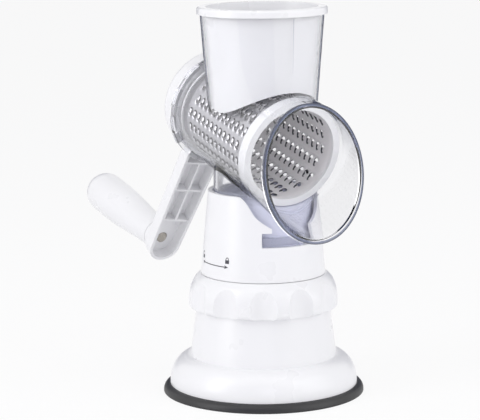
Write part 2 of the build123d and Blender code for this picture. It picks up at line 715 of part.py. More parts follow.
# Hollow oval cup, its floor a saddle that follows the drum
with BuildPart() as pusher:
    add(funnel(pusher_inset, AXIS_Z, HOPPER_TOP_Z + 1.0))
    with BuildSketch(Plane.XY.offset(HOPPER_TOP_Z + 0.2)):
        Ellipse(HOPPER_HALF_X + PUSHER_RIM_OUT, HOPPER_HALF_Y + PUSHER_RIM_OUT)
    extrude(amount=PUSHER_RIM_HEIGHT - 0.2)
    rim_edges = pusher.faces().sort_by(Axis.Z)[-1].edges()
    fillet(rim_edges, 1.4)
    add(pusher_cavity.part, mode=Mode.SUBTRACT)
    with BuildSketch(along_drum):
        Polygon(
            (0, TUBE_REAR - 10.0),
            (screen_radius(TUBE_REAR - 10.0) + DRUM_CLEARANCE, TUBE_REAR - 10.0),
            (screen_radius(TUBE_FRONT + 20.0) + DRUM_CLEARANCE, TUBE_FRONT + 20.0),
            (0, TUBE_FRONT + 20.0),
            align=None,
        )
    revolve(axis=drum_axis, mode=Mode.SUBTRACT)
finish(pusher, "pusher")

# ---------------------------------------------------------------- drum

# One shredding tooth: a hood that rises to an open mouth, over a hole in the sheet.
# Local z is outward, local x along the drum, and the mouth faces local +y.
with BuildPart() as hood:
    with BuildSketch(Plane.XZ.offset(-TOOTH_LENGTH * 0.4)):
        Polygon(
            (-TOOTH_WIDTH / 2, -0.3),
            (TOOTH_WIDTH / 2, -0.3),
            (TOOTH_WIDTH * 0.28, TOOTH_HEIGHT),
            (-TOOTH_WIDTH * 0.28, TOOTH_HEIGHT),
            align=None,
        )
    with BuildSketch(Plane.XZ.offset(TOOTH_LENGTH * 0.6)):
        Polygon(
            (-TOOTH_WIDTH * 0.3, -0.3),
            (TOOTH_WIDTH * 0.3, -0.3),
            (TOOTH_WIDTH * 0.12, 0.12),
            (-TOOTH_WIDTH * 0.12, 0.12),
            align=None,
        )
    loft(ruled=True)
with BuildPart() as hood_hollow:
    with BuildSketch(Plane.XZ.offset(-TOOTH_LENGTH * 0.4 - 0.6)):
        Polygon(
            (-TOOTH_WIDTH / 2 + TOOTH_SKIN * 1.3, -1.6),
            (TOOTH_WIDTH / 2 - TOOTH_SKIN * 1.3, -1.6),
            (TOOTH_WIDTH * 0.28 - TOOTH_SKIN * 0.4, TOOTH_HEIGHT - TOOTH_SKIN),
            (-TOOTH_WIDTH * 0.28 + TOOTH_SKIN * 0.4, TOOTH_HEIGHT - TOOTH_SKIN),
            align=None,
        )
    with BuildSketch(Plane.XZ.offset(TOOTH_LENGTH * 0.22)):
        Polygon(
            (-TOOTH_WIDTH * 0.25, -1.6),
            (TOOTH_WIDTH * 0.25, -1.6),
            (TOOTH_WIDTH * 0.16, 0.0),
            (-TOOTH_WIDTH * 0.16, 0.0),
            align=None,
        )
    loft(ruled=True)

tooth_spots = []
for row in range(TOOTH_ROWS):
    turn = radians(ROW_PHASE + 360.0 * row / TOOTH_ROWS)
    outward = Vector(cos(turn), 0, 0) + drum_up * sin(turn)
    forward = drum_up * cos(turn) - Vector(sin(turn), 0, 0)
    stagger = row % STAGGER_CYCLE / STAGGER_CYCLE
    for step in range(TEETH_PER_ROW):
        place = FIRST_TOOTH + TOOTH_PITCH * (step + stagger)
        spot = drum_origin + drum_dir * place + outward * (screen_radius(place) - 0.05)
        tooth_spots.append(Plane(origin=spot, x_dir=forward.cross(outward), z_dir=outward))

with BuildPart() as drum_screen:
    with BuildSketch(along_drum):
        Polygon(
            (SCREEN_REAR_RADIUS - SCREEN_SHEET, SCREEN_REAR),
            (SCREEN_REAR_RADIUS, SCREEN_REAR),
            (SCREEN_FRONT_RADIUS, SCREEN_FRONT),
            (SCREEN_FRONT_RADIUS - SCREEN_SHEET, SCREEN_FRONT),
            align=None,
        )
    revolve(axis=drum_axis)
    with Locations(*tooth_spots):
        add(hood.part)
        add(hood_hollow.part, mode=Mode.SUBTRACT)
finish(drum_screen, "drum_screen")

# White ring that frames the drum's open end and runs in the clear tube
with BuildPart() as drum_front_ring:
    with BuildSketch(along_drum):
        Polygon(
            (FRONT_RING_INNER, SCREEN_FRONT + 0.05),
            (FRONT_RING_INNER, FRONT_RING_FRONT),
            (FRONT_RING_RADIUS, FRONT_RING_FRONT),
            (FRONT_RING_RADIUS, FRONT_RING_REAR),
            (screen_radius(FRONT_RING_REAR) + 0.05, FRONT_RING_REAR),
            (screen_radius(SCREEN_FRONT) + 0.05, SCREEN_FRONT + 0.05),
            align=None,
        )
    revolve(axis=drum_axis)
finish(drum_front_ring, "drum_front_ring")

# White rear plate of the drum with its six-sided socket
plate_front = SCREEN_REAR + HUB_PLATE
hub_rear = SCREEN_REAR - HUB_RIM
with BuildPart() as drum_hub:
    with BuildSketch(along_drum):
        Polygon(
            (0, hub_rear),
            (SCREEN_REAR_RADIUS + 1.0, hub_rear),
            (SCREEN_REAR_RADIUS + 1.0, SCREEN_REAR - 0.05),
            (SCREEN_REAR_RADIUS - SCREEN_SHEET - 0.05, SCREEN_REAR - 0.05),
            (SCREEN_REAR_RADIUS - SCREEN_SHEET - 0.05, plate_front),
            (HUB_BOSS_RADIUS, plate_front),
            (HUB_BOSS_RADIUS - 0.6, HUB_FRONT),
            (0, HUB_FRONT),
            align=None,
        )
    revolve(axis=drum_axis)
    with BuildSketch(along_drum):
        Polygon(
            (HUB_BOSS_RADIUS - 1.0, plate_front - 1.0),
            (2 * HUB_BOSS_RADIUS, plate_front - 1.0),
            (2 * HUB_BOSS_RADIUS, plate_front + 1.0),
            (HUB_BOSS_RADIUS - 1.0, HUB_FRONT - 2.0),
            align=None,
        )
    hub_rib = extrude(amount=0.8, both=True, mode=Mode.PRIVATE)
    for turn in range(0, 360, 360 // HUB_RIBS):
        add(hub_rib.rotate(drum_axis, turn))
    with BuildSketch(across_drum.offset(hub_rear)):
        RegularPolygon(DRIVE_FLATS / 2 + SOCKET_GAP, 6, major_radius=False)
    extrude(amount=HUB_FRONT - hub_rear, mode=Mode.SUBTRACT)
finish(drum_hub, "drum_hub")

# ---------------------------------------------------------------- drive and crank

# Drive hub: keyed in the crank, round in the bearing, six-sided in the drum
with BuildPart() as drive_hub:
    with BuildSketch(across_drum.offset(DRIVE_REAR)):
        RegularPolygon(DRIVE_KEY_FLATS / 2, 6, major_radius=False)
    extrude(amount=JOURNAL_REAR - DRIVE_REAR)
    with BuildSketch(across_drum.offset(JOURNAL_REAR)):
        Circle(JOURNAL_RADIUS)
    extrude(amount=JOURNAL_FRONT - JOURNAL_REAR)
    with BuildSketch(across_drum.offset(JOURNAL_FRONT)):
        RegularPolygon(DRIVE_FLATS / 2, 6, major_radius=False)
    extrude(amount=HUB_FRONT + 0.3 - JOURNAL_FRONT)
    # Snap bead that holds the drum, split so that it can spring in
    with BuildSketch(along_drum):
        Polygon(
            (0, HUB_FRONT + 0.2),
            (BEAD_RADIUS, HUB_FRONT + 0.2),
            (BEAD_RADIUS, HUB_FRONT + 0.9),
            (BEAD_RADIUS - 1.7, HUB_FRONT + 2.6),
            (0, HUB_FRONT + 2.6),
            align=None,
        )
    revolve(axis=drum_axis)
    with BuildSketch(across_drum.offset(HUB_FRONT + 3.0)):
        Circle(DRIVE_BORE)
        Rectangle(3 * BEAD_RADIUS, SPLIT_WIDTH)
        Rectangle(SPLIT_WIDTH, 3 * BEAD_RADIUS)
    extrude(amount=-SPLIT_DEPTH, mode=Mode.SUBTRACT)
    with BuildSketch(across_drum.offset(DRIVE_REAR)):
        Circle(HUB_SCREW_RADIUS + 0.05)
    extrude(amount=14.0, mode=Mode.SUBTRACT)
finish(drive_hub, "drive_hub")

# Crank: cap and leaning arm in one moulding, both open towards the housing
with BuildPart() as crank:
    # Arm outline, straight sides that narrow to a round end
    arm_end = ARM_END_REACH / cos(lean)
    arm_root = 24.0 / cos(lean)
    with BuildSketch(arm_plane):
        Polygon(
            (-ARM_ROOT_HALF, arm_root),
            (ARM_ROOT_HALF, arm_root),
            (ARM_END_HALF, arm_end),
            (-ARM_END_HALF, arm_end),
            align=None,
        )
        with Locations((0, arm_end)):
            Circle(ARM_END_HALF)
    extrude(amount=-ARM_THICKNESS)
    arm_back = crank.faces().sort_by(Axis((0, 0, 0), arm_normal))[0]
    fillet(arm_back.edges(), ARM_ROUNDING)
    # Seat for the knob, square to its axis
    with BuildSketch(across_knob.offset(KNOB_SEAT)):
        Circle(KNOB_BASE_RADIUS)
    extrude(amount=12.0)
    # Trim what would stand in front of the arm or inside the cap
    with BuildSketch(arm_plane):
        with Locations((0, arm_end / 2)):
            Rectangle(80.0, 2 * arm_end)
    extrude(amount=30.0, mode=Mode.SUBTRACT)
    with BuildSketch(across_drum.offset(CAP_FRONT)):
        Circle(2.0 * CAP_RADIUS)
    extrude(amount=30.0, mode=Mode.SUBTRACT)
    with BuildSketch(across_drum.offset(CAP_BACK - 5.0)):
        Circle(CAP_RADIUS - CAP_WALL / 2)
    extrude(amount=40.0, mode=Mode.SUBTRACT)
    # Channel in the arm, and the ribs that cross it
    channel_start = (CAP_RADIUS + 1.6) / cos(lean)
    with BuildSketch(arm_plane):
        Polygon(
            (-ARM_ROOT_HALF + ARM_WALL, channel_start),
            (ARM_ROOT_HALF - ARM_WALL, channel_start),
            (ARM_END_HALF - ARM_WALL, arm_end),
            (-ARM_END_HALF + ARM_WALL, arm_end),
            align=None,
        )
        with Locations((0, arm_end)):
            Circle(ARM_END_HALF - ARM_WALL)
    extrude(amount=-(ARM_THICKNESS - ARM_FLOOR), mode=Mode.SUBTRACT)
    with BuildSketch(arm_plane.offset(-RIB_DROP)):
        for reach in RIB_REACHES:
            with Locations((0, reach / cos(lean))):
                Rectangle(2 * ARM_END_HALF, RIB_THICKNESS)
        first, last = RIB_REACHES[0] / cos(lean), RIB_REACHES[-1] / cos(lean)
        with Locations((0, (first + last) / 2)):
            Rectangle(RIB_THICKNESS, last - first)
    extrude(amount=-(ARM_THICKNESS - ARM_FLOOR))
    with BuildSketch(across_knob.offset(KNOB_SEAT - 1.0)):
        Circle(SPINDLE_HEAD_RADIUS + 0.05)
    extrude(amount=20.0, mode=Mode.SUBTRACT)
    # Cap: a shallow cup with a rounded back and a deep middle boss
    with BuildSketch(along_drum):
        with BuildLine():
            Polyline(
                (CAP_RADIUS - CAP_WALL, CAP_BACK + CAP_ROUNDING + 0.4),
                (CAP_RADIUS - CAP_WALL, CAP_FRONT),
                (CAP_RADIUS, CAP_FRONT),
                (CAP_RADIUS, CAP_BACK + CAP_ROUNDING),
            )
            ThreePointArc(
                (CAP_RADIUS, CAP_BACK + CAP_ROUNDING),
                (CAP_RADIUS - 1.6, CAP_BACK + 1.5),
                (CAP_RADIUS - 5.4, CAP_BACK),
            )
            Polyline(
                (CAP_RADIUS - 5.4, CAP_BACK),
                (0, CAP_BACK),
                (0, CAP_BACK + CAP_WALL),
                (CAP_RADIUS - 5.6, CAP_BACK + CAP_WALL),
            )
            ThreePointArc(
                (CAP_RADIUS - 5.6, CAP_BACK + CAP_WALL),
                (CAP_RADIUS - CAP_WALL - 0.9, CAP_BACK + CAP_WALL + 1.0),
                (CAP_RADIUS - CAP_WALL, CAP_BACK + CAP_ROUNDING + 0.4),
            )
        make_face()
    revolve(axis=drum_axis)
    with BuildSketch(across_drum.offset(CAP_BACK + 1.0)):
        Circle(SLEEVE_RADIUS)
    extrude(amount=JOURNAL_REAR - CAP_BACK - 1.0)
    with BuildSketch(across_drum.offset(JOURNAL_REAR)):
        RegularPolygon(DRIVE_KEY_FLATS / 2 + SOCKET_GAP, 6, major_radius=False)
    extrude(amount=DRIVE_REAR - JOURNAL_REAR, mode=Mode.SUBTRACT)
    with BuildSketch(across_drum.offset(CAP_BACK)):
        Circle(HUB_SCREW_RADIUS + 0.3)
    extrude(amount=12.0, mode=Mode.SUBTRACT)
    with BuildSketch(across_drum.offset(CAP_BACK)):
        Circle(HUB_CAP_RADIUS + 0.05)
    extrude(amount=HUB_CAP_DEPTH, mode=Mode.SUBTRACT)
    with BuildSketch(across_drum.offset(CAP_BACK + HUB_CAP_DEPTH)):
        Circle(HUB_SCREW_HEAD + 0.2)
    extrude(amount=HUB_SCREW_HEAD_HEIGHT, mode=Mode.SUBTRACT)
finish(crank, "crank")

# Screw that ties the crank to the drive hub, under a round cover at the back
screw_seat = CAP_BACK + HUB_CAP_DEPTH + HUB_SCREW_HEAD_HEIGHT
with BuildPart() as hub_screw:
    with BuildSketch(along_drum):
        Polygon(
            (0, screw_seat - HUB_SCREW_HEAD_HEIGHT + 0.1),
            (HUB_SCREW_HEAD, screw_seat - HUB_SCREW_HEAD_HEIGHT + 0.1),
            (HUB_SCREW_HEAD, screw_seat),
            (HUB_SCREW_RADIUS, screw_seat),
            (HUB_SCREW_RADIUS, DRIVE_REAR + 13.0),
            (0, DRIVE_REAR + 13.0),
            align=None,
        )
    revolve(axis=drum_axis)
    with BuildSketch(across_drum.offset(screw_seat - HUB_SCREW_HEAD_HEIGHT)):
        RegularPolygon(1.5, 6)
    extrude(amount=1.8, mode=Mode.SUBTRACT)
finish(hub_screw, "hub_screw")

with BuildPart() as hub_cover:
    with BuildSketch(across_drum.offset(CAP_BACK + HUB_CAP_DEPTH)):
        Circle(HUB_CAP_RADIUS)
    extrude(amount=-HUB_CAP_DEPTH)
    chamfer(hub_cover.faces().sort_by(drum_axis)[0].edges(), 0.4)
finish(hub_cover, "hub_cover")

# ---------------------------------------------------------------- knob

nut_z = knob_start - KNOB_NUT_SEAT
with BuildPart() as knob_sleeve:
    with BuildSketch(along_knob):
        with BuildLine():
            Spline(
                (KNOB_BASE_RADIUS, knob_start),
                (KNOB_WAIST_RADIUS, knob_start - 26.0),
                (KNOB_RADIUS - 0.3, knob_start - 46.0),
                (KNOB_RADIUS, knob_dome),
                tangents=((0.05, -1), (0, -1)),
            )
            EllipticalCenterArc(
                (0, knob_dome), KNOB_RADIUS, knob_dome - knob_end, -dome_cut, arc_size=dome_cut
            )
            Polyline(
                (KNOB_PLUG_RADIUS, plug_edge),
                (KNOB_PLUG_RADIUS + 0.05, plug_edge + 0.3),
                (KNOB_PLUG_RADIUS + 0.05, nut_z),
                (KNOB_BORE, nut_z),
                (KNOB_BORE, knob_start - KNOB_CORE_END),
                (KNOB_RADIUS - 4.8, knob_start - KNOB_CORE_END + 2.0),
                (KNOB_BASE_RADIUS - 2.5, knob_start - KNOB_CORE_START - 2.0),
                (KNOB_BORE, knob_start - KNOB_CORE_START),
                (KNOB_BORE, knob_start),
                (KNOB_BASE_RADIUS, knob_start),
            )
        make_face()
    revolve(axis=knob_axis)
finish(knob_sleeve, "knob_sleeve")

# Steel spindle, pressed into the arm; the sleeve turns on it
spindle_end = nut_z - 3.0
with BuildPart() as knob_spindle:
    with BuildSketch(along_knob):
        Polygon(
            (0, KNOB_SEAT + 6.0),
            (SPINDLE_HEAD_RADIUS - 0.6, KNOB_SEAT + 6.0),
            (SPINDLE_HEAD_RADIUS, KNOB_SEAT + 5.4),
            (SPINDLE_HEAD_RADIUS, KNOB_SEAT),
            (SPINDLE_RADIUS, KNOB_SEAT),
            (SPINDLE_RADIUS, spindle_end + 0.6),
            (SPINDLE_RADIUS - 0.6, spindle_end),
            (0, spindle_end),
            align=None,
        )
    revolve(axis=knob_axis)
finish(knob_spindle, "knob_spindle")

# Push-on nut that keeps the sleeve on the spindle
with BuildPart() as push_nut:
    with BuildSketch(along_knob):
        Polygon(
            (SPINDLE_RADIUS + 0.02, nut_z - 0.3),
            (NUT_RADIUS, nut_z - 0.3),
            (NUT_RADIUS, nut_z - 0.9),
            (SPINDLE_RADIUS + 1.0, nut_z - 0.9),
            (SPINDLE_RADIUS + 0.02, nut_z - 1.8),
            align=None,
        )
    revolve(axis=knob_axis)
finish(push_nut, "push_nut")

# Plug that closes the knob's round end
with BuildPart() as knob_plug:
    with BuildSketch(along_knob):
        with BuildLine():
            EllipticalCenterArc(
                (0, knob_dome), KNOB_RADIUS, knob_dome - knob_end, -90, arc_size=90 - dome_cut
            )
            Polyline(
                (KNOB_PLUG_RADIUS, plug_edge),
                (KNOB_PLUG_RADIUS, plug_edge + KNOB_PLUG_LENGTH),
                (0, plug_edge + KNOB_PLUG_LENGTH),
                (0, knob_end),
            )
        make_face()
    revolve(axis=knob_axis)
finish(knob_plug, "knob_plug")
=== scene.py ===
import json
from math import cos, pi, radians, sin, sqrt

import bmesh
import bpy
from bpy.props import FloatProperty, FloatVectorProperty, IntProperty, PointerProperty
from mathutils import Matrix, Vector
from mathutils.bvhtree import BVHTree


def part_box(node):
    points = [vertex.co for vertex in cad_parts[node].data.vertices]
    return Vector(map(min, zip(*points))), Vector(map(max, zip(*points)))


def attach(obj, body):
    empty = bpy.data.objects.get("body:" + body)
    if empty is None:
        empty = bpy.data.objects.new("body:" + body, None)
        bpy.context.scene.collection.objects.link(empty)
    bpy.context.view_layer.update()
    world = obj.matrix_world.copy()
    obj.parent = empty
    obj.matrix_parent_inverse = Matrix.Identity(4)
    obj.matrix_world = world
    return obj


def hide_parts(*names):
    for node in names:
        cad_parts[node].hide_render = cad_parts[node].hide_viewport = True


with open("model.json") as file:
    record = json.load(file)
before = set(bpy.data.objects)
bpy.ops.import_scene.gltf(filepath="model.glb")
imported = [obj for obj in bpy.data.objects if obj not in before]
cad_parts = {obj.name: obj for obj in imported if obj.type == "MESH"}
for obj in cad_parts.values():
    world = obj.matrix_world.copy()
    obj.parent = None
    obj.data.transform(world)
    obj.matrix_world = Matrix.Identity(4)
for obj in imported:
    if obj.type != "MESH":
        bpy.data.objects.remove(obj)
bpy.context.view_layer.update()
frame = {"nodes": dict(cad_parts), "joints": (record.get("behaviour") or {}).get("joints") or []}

bl_info = {
    "name": "Rotary drum shredder",
    "version": (1, 0, 0),
    "blender": (4, 5, 0),
    "location": "3D View > Sidebar > Shredder",
    "description": "Dresses a hand cranked drum shredder and sets its studio",
    "category": "Object",
}

MM = 0.001
# The plane of the outlet's mouth leans back from upright by this much
MOUTH_LEAN = radians(8.1)


def linear(code):
    """Turns an sRGB hex colour into the linear numbers that shaders use."""
    channels = [int(code[place:place + 2], 16) / 255 for place in (0, 2, 4)]
    return [c / 12.92 if c <= 0.04045 else ((c + 0.055) / 1.055) ** 2.4 for c in channels]


# ---------------------------------------------------------------- what the frame gives

nodes = frame["nodes"]
joints = {joint["name"]: joint for joint in frame["joints"]}
drum_origin = Vector(joints["crank_turn"]["pos_m"])
drum_axis = Vector(joints["crank_turn"]["axis"]).normalized()
drum_up = drum_axis.cross(Vector((1, 0, 0))).normalized()


def place_and_radius(point):
    """How far along the drum's axis a point lies, and how far from it."""
    offset = Vector(point) - drum_origin
    place = offset.dot(drum_axis)
    return place, (offset - drum_axis * place).length


# ---------------------------------------------------------------- settings


class MouldingSettings(bpy.types.PropertyGroup):
    """Colours of the plastic and rubber mouldings."""

    white_abs: FloatVectorProperty(
        name="White ABS",
        description="Body colour of the opaque mouldings",
        subtype="COLOR",
        default=linear("F0F0F2"),
    )
    clear_san: FloatVectorProperty(
        name="Clear SAN",
        description="Tint that the clear plastic takes on through its depth",
        subtype="COLOR",
        default=linear("A3A8CE"),
    )
    tint_depth: FloatProperty(
        name="Tint depth",
        description="How strongly the clear plastic's tint builds up, per metre",
        default=22.0,
        min=0.0,
    )
    # Painted shade: the navy painted on the mouth's cut lip stands in for light dimmed along the
    # tinted wall
    painted_edge_shade: FloatVectorProperty(
        name="Edge blue",
        description="Colour that the clear plastic shows on its cut edges",
        subtype="COLOR",
        default=linear("2C3654"),
    )
    black_rubber: FloatVectorProperty(
        name="Black rubber",
        description="Colour of the suction pad",
        subtype="COLOR",
        default=linear("1B1B1D"),
    )


class ScreenSettings(bpy.types.PropertyGroup):
    """Sizes of the pierced steel screen and its teeth."""

    rows: IntProperty(
        name="Rows", description="Rows of teeth round the drum", default=20, min=4
    )
    phase: FloatProperty(
        name="First row",
        description="Angle of the first row, from +X towards the drum's top",
        default=radians(11.0),
        unit="ROTATION",
    )
    teeth: IntProperty(
        name="Teeth in a row", description="Teeth along the drum", default=12, min=2
    )
    stagger: IntProperty(
        name="Stagger", description="Rows until the teeth line up again", default=3, min=1
    )
    pitch: FloatProperty(
        name="Pitch",
        description="Distance between teeth along the drum",
        default=5.45 * MM,
        unit="LENGTH",
    )
    first: FloatProperty(
        name="First tooth",
        description="Place of the first row's first tooth along the axis",
        default=-38.6 * MM,
        unit="LENGTH",
    )
    width: FloatProperty(
        name="Tooth width",
        description="Width of a tooth along the drum",
        default=4.2 * MM,
        unit="LENGTH",
    )
    hood_length: FloatProperty(
        name="Hood length",
        description="Length of the raised hood round the drum",
        default=3.5 * MM,
        unit="LENGTH",
    )
    hole_length: FloatProperty(
        name="Hole length",
        description="Length of the hole in front of the hood",
        default=2.1 * MM,
        unit="LENGTH",
    )
    height: FloatProperty(
        name="Tooth height",
        description="How far a hood's cutting edge stands out",
        default=1.35 * MM,
        unit="LENGTH",
    )
    sheet: FloatProperty(
        name="Sheet",
        description="Thickness of the steel sheet",
        default=0.6 * MM,
        unit="LENGTH",
    )
    steel: FloatVectorProperty(
        name="Stainless steel",
        description="Colour that the polished steel reflects",
        subtype="COLOR",
        default=linear("D2D1D5"),
    )
    # Painted light: the near-white inner face stands in for light in the drum's shaded inside
    inside: FloatVectorProperty(
        name="Inner face",
        description="Colour of the sheet's matt inner face",
        subtype="COLOR",
        default=linear("F2F0F2"),
    )


class MarkSettings(bpy.types.PropertyGroup):
    """The lock marks printed on the tower."""

    ink: FloatVectorProperty(
        name="Ink",
        description="Colour of the printed marks",
        subtype="COLOR",
        default=linear("3B3B42"),
    )
    arrow_z: FloatProperty(
        name="Arrow height",
        description="Height of the arrow above the worktop",
        default=83.4 * MM,
        unit="LENGTH",
    )
    stroke: FloatProperty(
        name="Stroke",
        description="Width of the arrow's line",
        default=0.55 * MM,
        unit="LENGTH",
    )


class StageSettings(bpy.types.PropertyGroup):
    """Camera and lights."""

    lens: FloatProperty(name="Lens", description="Focal length", default=166.95, unit="CAMERA")
    azimuth: FloatProperty(
        name="Azimuth",
        description="Where the camera stands round the object, from -Y towards +X",
        default=radians(-31.28),
        unit="ROTATION",
    )
    distance: FloatProperty(
        name="Distance",
        description="Level distance from the upright axis",
        default=1.3562,
        unit="LENGTH",
    )
    height: FloatProperty(
        name="Height", description="Camera height", default=0.3521, unit="LENGTH"
    )
    pitch: FloatProperty(
        name="Pitch", description="Tilt downwards", default=radians(9.98), unit="ROTATION"
    )
    yaw: FloatProperty(
        name="Yaw", description="Turn to the right", default=radians(-0.60), unit="ROTATION"
    )
    roll: FloatProperty(
        name="Roll", description="Turn about the view", default=radians(-0.35), unit="ROTATION"
    )
    sky: FloatVectorProperty(
        name="Room light",
        description="Colour of the soft light from all round",
        subtype="COLOR",
        default=linear("F6F6F9"),
    )
    sky_strength: FloatProperty(
        name="Room strength", description="Strength of the room's light", default=0.68, min=0.0
    )


settings_groups = {
    "shredder_mouldings": MouldingSettings,
    "shredder_screen": ScreenSettings,
    "shredder_marks": MarkSettings,
    "shredder_stage": StageSettings,
}


# ---------------------------------------------------------------- materials


def add_node(tree, kind, values=None, links=None):
    """Adds a shader node, sets its sockets or properties, and links its inputs."""
    node = tree.nodes.new(kind)
    for key, value in (values or {}).items():
        if isinstance(key, int) or key in node.inputs:
            node.inputs[key].default_value = value
        else:
            setattr(node, key, value)
    for key, socket in (links or {}).items():
        tree.links.new(socket, node.inputs[key])
    return node


def new_material(name):
    """An empty node material, its tree and its output."""
    material = bpy.data.materials.new(name)
    material.use_nodes = True
    tree = material.node_tree
    tree.nodes.clear()
    output = add_node(tree, "ShaderNodeOutputMaterial")
    return material, tree, output


def moulded_abs(name, colour, roughness=0.3):
    """ABS, injection moulded in a polished tool.

    It gives the eye a bright, even body with broad soft highlights, and only a
    breath of orange peel where the skin froze against the steel.
    """
    material, tree, output = new_material(name)
    where = add_node(tree, "ShaderNodeTexCoord")
    peel_size = 2.2 * MM
    flow_size = 28.0 * MM
    peel = add_node(
        tree,
        "ShaderNodeTexNoise",
        {"Scale": 1 / peel_size, "Detail": 2.0, "Roughness": 0.45},
        {"Vector": where.outputs["Object"]},
    )
    flow = add_node(
        tree,
        "ShaderNodeTexNoise",
        {"Scale": 1 / flow_size, "Detail": 3.0},
        {"Vector": where.outputs["Object"]},
    )
    gloss = add_node(
        tree,
        "ShaderNodeMapRange",
        {"From Min": 0.3, "From Max": 0.7, "To Min": roughness - 0.05, "To Max": roughness + 0.06},
        {"Value": flow.outputs["Fac"]},
    )
    tone = add_node(
        tree,
        "ShaderNodeMix",
        {"data_type": "RGBA", 6: (*colour, 1), 7: (*[c * 0.965 for c in colour], 1)},
        {0: flow.outputs["Fac"]},
    )
    relief = add_node(
        tree,
        "ShaderNodeBump",
        {"Strength": 0.05, "Distance": 0.05 * MM},
        {"Height": peel.outputs["Fac"]},
    )
    skin = add_node(
        tree,
        "ShaderNodeBsdfPrincipled",
        {"IOR": 1.54, "Coat Weight": 0.12, "Coat Roughness": 0.12},
        {
            "Base Color": tone.outputs[2],
            "Roughness": gloss.outputs["Result"],
            "Normal": relief.outputs["Normal"],
        },
    )
    tree.links.new(skin.outputs["BSDF"], output.inputs["Surface"])
    return material


def mouth_lip_painted_shade(tree, where, painted_edge_shade):
    """The share and the colour of the lip round the outlet's mouth.

    Light that ran inside the walls comes out there, and its dimming is painted
    shade on an opaque lip: the mouth's flat face is painted dark at its outer edge, then paler,
    then clear.
    """
    lip_depth, lip_fade, flat = 1.1 * MM, 0.6 * MM, 0.05 * MM
    mouth_out = Vector((0, -cos(MOUTH_LEAN), sin(MOUTH_LEAN)))
    mouth_up = Vector((0, sin(MOUTH_LEAN), cos(MOUTH_LEAN)))
    shell = [v.co for v in nodes["clear_housing"].data.vertices]
    mouth_reach = max(co.dot(mouth_out) for co in shell)
    brim = [co for co in shell if co.dot(mouth_out) > mouth_reach - flat]
    half_width = max(co.x for co in brim)
    heights = [co.dot(mouth_up) for co in brim]
    half_height = (max(heights) - min(heights)) / 2
    mouth_middle = (max(heights) + min(heights)) / 2
    towards_mouth = add_node(
        tree,
        "ShaderNodeVectorMath",
        {"operation": "DOT_PRODUCT", 1: mouth_out},
        {0: where.outputs["Object"]},
    )
    on_lip = add_node(
        tree,
        "ShaderNodeMapRange",
        {
            "From Min": mouth_reach - lip_depth - lip_fade,
            "From Max": mouth_reach - lip_depth,
            "To Max": 0.85,
        },
        {"Value": towards_mouth.outputs["Value"]},
    )
    across_mouth = add_node(
        tree,
        "ShaderNodeVectorMath",
        {"operation": "DOT_PRODUCT", 1: (1 / half_width, 0, 0)},
        {0: where.outputs["Object"]},
    )
    up_mouth = add_node(
        tree,
        "ShaderNodeVectorMath",
        {"operation": "DOT_PRODUCT", 1: mouth_up / half_height},
        {0: where.outputs["Object"]},
    )
    up_from_middle = add_node(
        tree,
        "ShaderNodeMath",
        {"operation": "SUBTRACT", 1: mouth_middle / half_height},
        {0: up_mouth.outputs["Value"]},
    )
    spread = add_node(
        tree,
        "ShaderNodeCombineXYZ",
        {},
        {"X": across_mouth.outputs["Value"], "Y": up_from_middle.outputs["Value"]},
    )
    from_middle = add_node(
        tree,
        "ShaderNodeVectorMath",
        {"operation": "LENGTH"},
        {0: spread.outputs["Vector"]},
    )
    # 1 is the face's outer edge
    on_face = add_node(
        tree,
        "ShaderNodeMapRange",
        {"From Min": 0.99, "From Max": 0.965},
        {"Value": from_middle.outputs["Value"]},
    )
    near_rim = add_node(
        tree,
        "ShaderNodeMapRange",
        {"From Min": 0.95, "From Max": 0.962},
        {"Value": from_middle.outputs["Value"]},
    )
    lip_share = add_node(
        tree,
        "ShaderNodeMath",
        {"operation": "MULTIPLY"},
        {0: on_lip.outputs["Result"], 1: near_rim.outputs["Result"]},
    )
    # Painted shade: navy at the mouth face's outer edge, paler slate further in
    lip_painted_shade = add_node(
        tree,
        "ShaderNodeMix",
        {"data_type": "RGBA", 6: (*painted_edge_shade, 1), 7: (*linear("6C7590"), 1)},
        {0: on_face.outputs["Result"]},
    )
    return lip_share.outputs["Value"], lip_painted_shade.outputs[2]


def matt_foot_painted_light(tree, where):
    """A mask of the foot that plugs into the tower, where an opaque matt pale lavender is painted
    light over the tower's shaded inside.
    """
    tower_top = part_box("tower")[1]
    edge_in, edge_fade, edge_up, edge_down = 3.0 * MM, 4.0 * MM, 2.0 * MM, 6.0 * MM
    split = add_node(tree, "ShaderNodeSeparateXYZ", {}, {"Vector": where.outputs["Object"]})
    across = add_node(
        tree,
        "ShaderNodeCombineXYZ",
        {},
        {"X": split.outputs["X"], "Y": split.outputs["Y"]},
    )
    reach = add_node(
        tree,
        "ShaderNodeVectorMath",
        {"operation": "LENGTH"},
        {0: across.outputs["Vector"]},
    )
    within = add_node(
        tree,
        "ShaderNodeMapRange",
        {"From Min": tower_top.x - edge_in, "From Max": tower_top.x - edge_in - edge_fade},
        {"Value": reach.outputs["Value"]},
    )
    below = add_node(
        tree,
        "ShaderNodeMapRange",
        {"From Min": tower_top.z + edge_up, "From Max": tower_top.z - edge_down},
        {"Value": split.outputs["Z"]},
    )
    matt = add_node(
        tree,
        "ShaderNodeMath",
        {"operation": "MULTIPLY"},
        {0: within.outputs["Result"], 1: below.outputs["Result"]},
    )
    return matt.outputs["Value"]


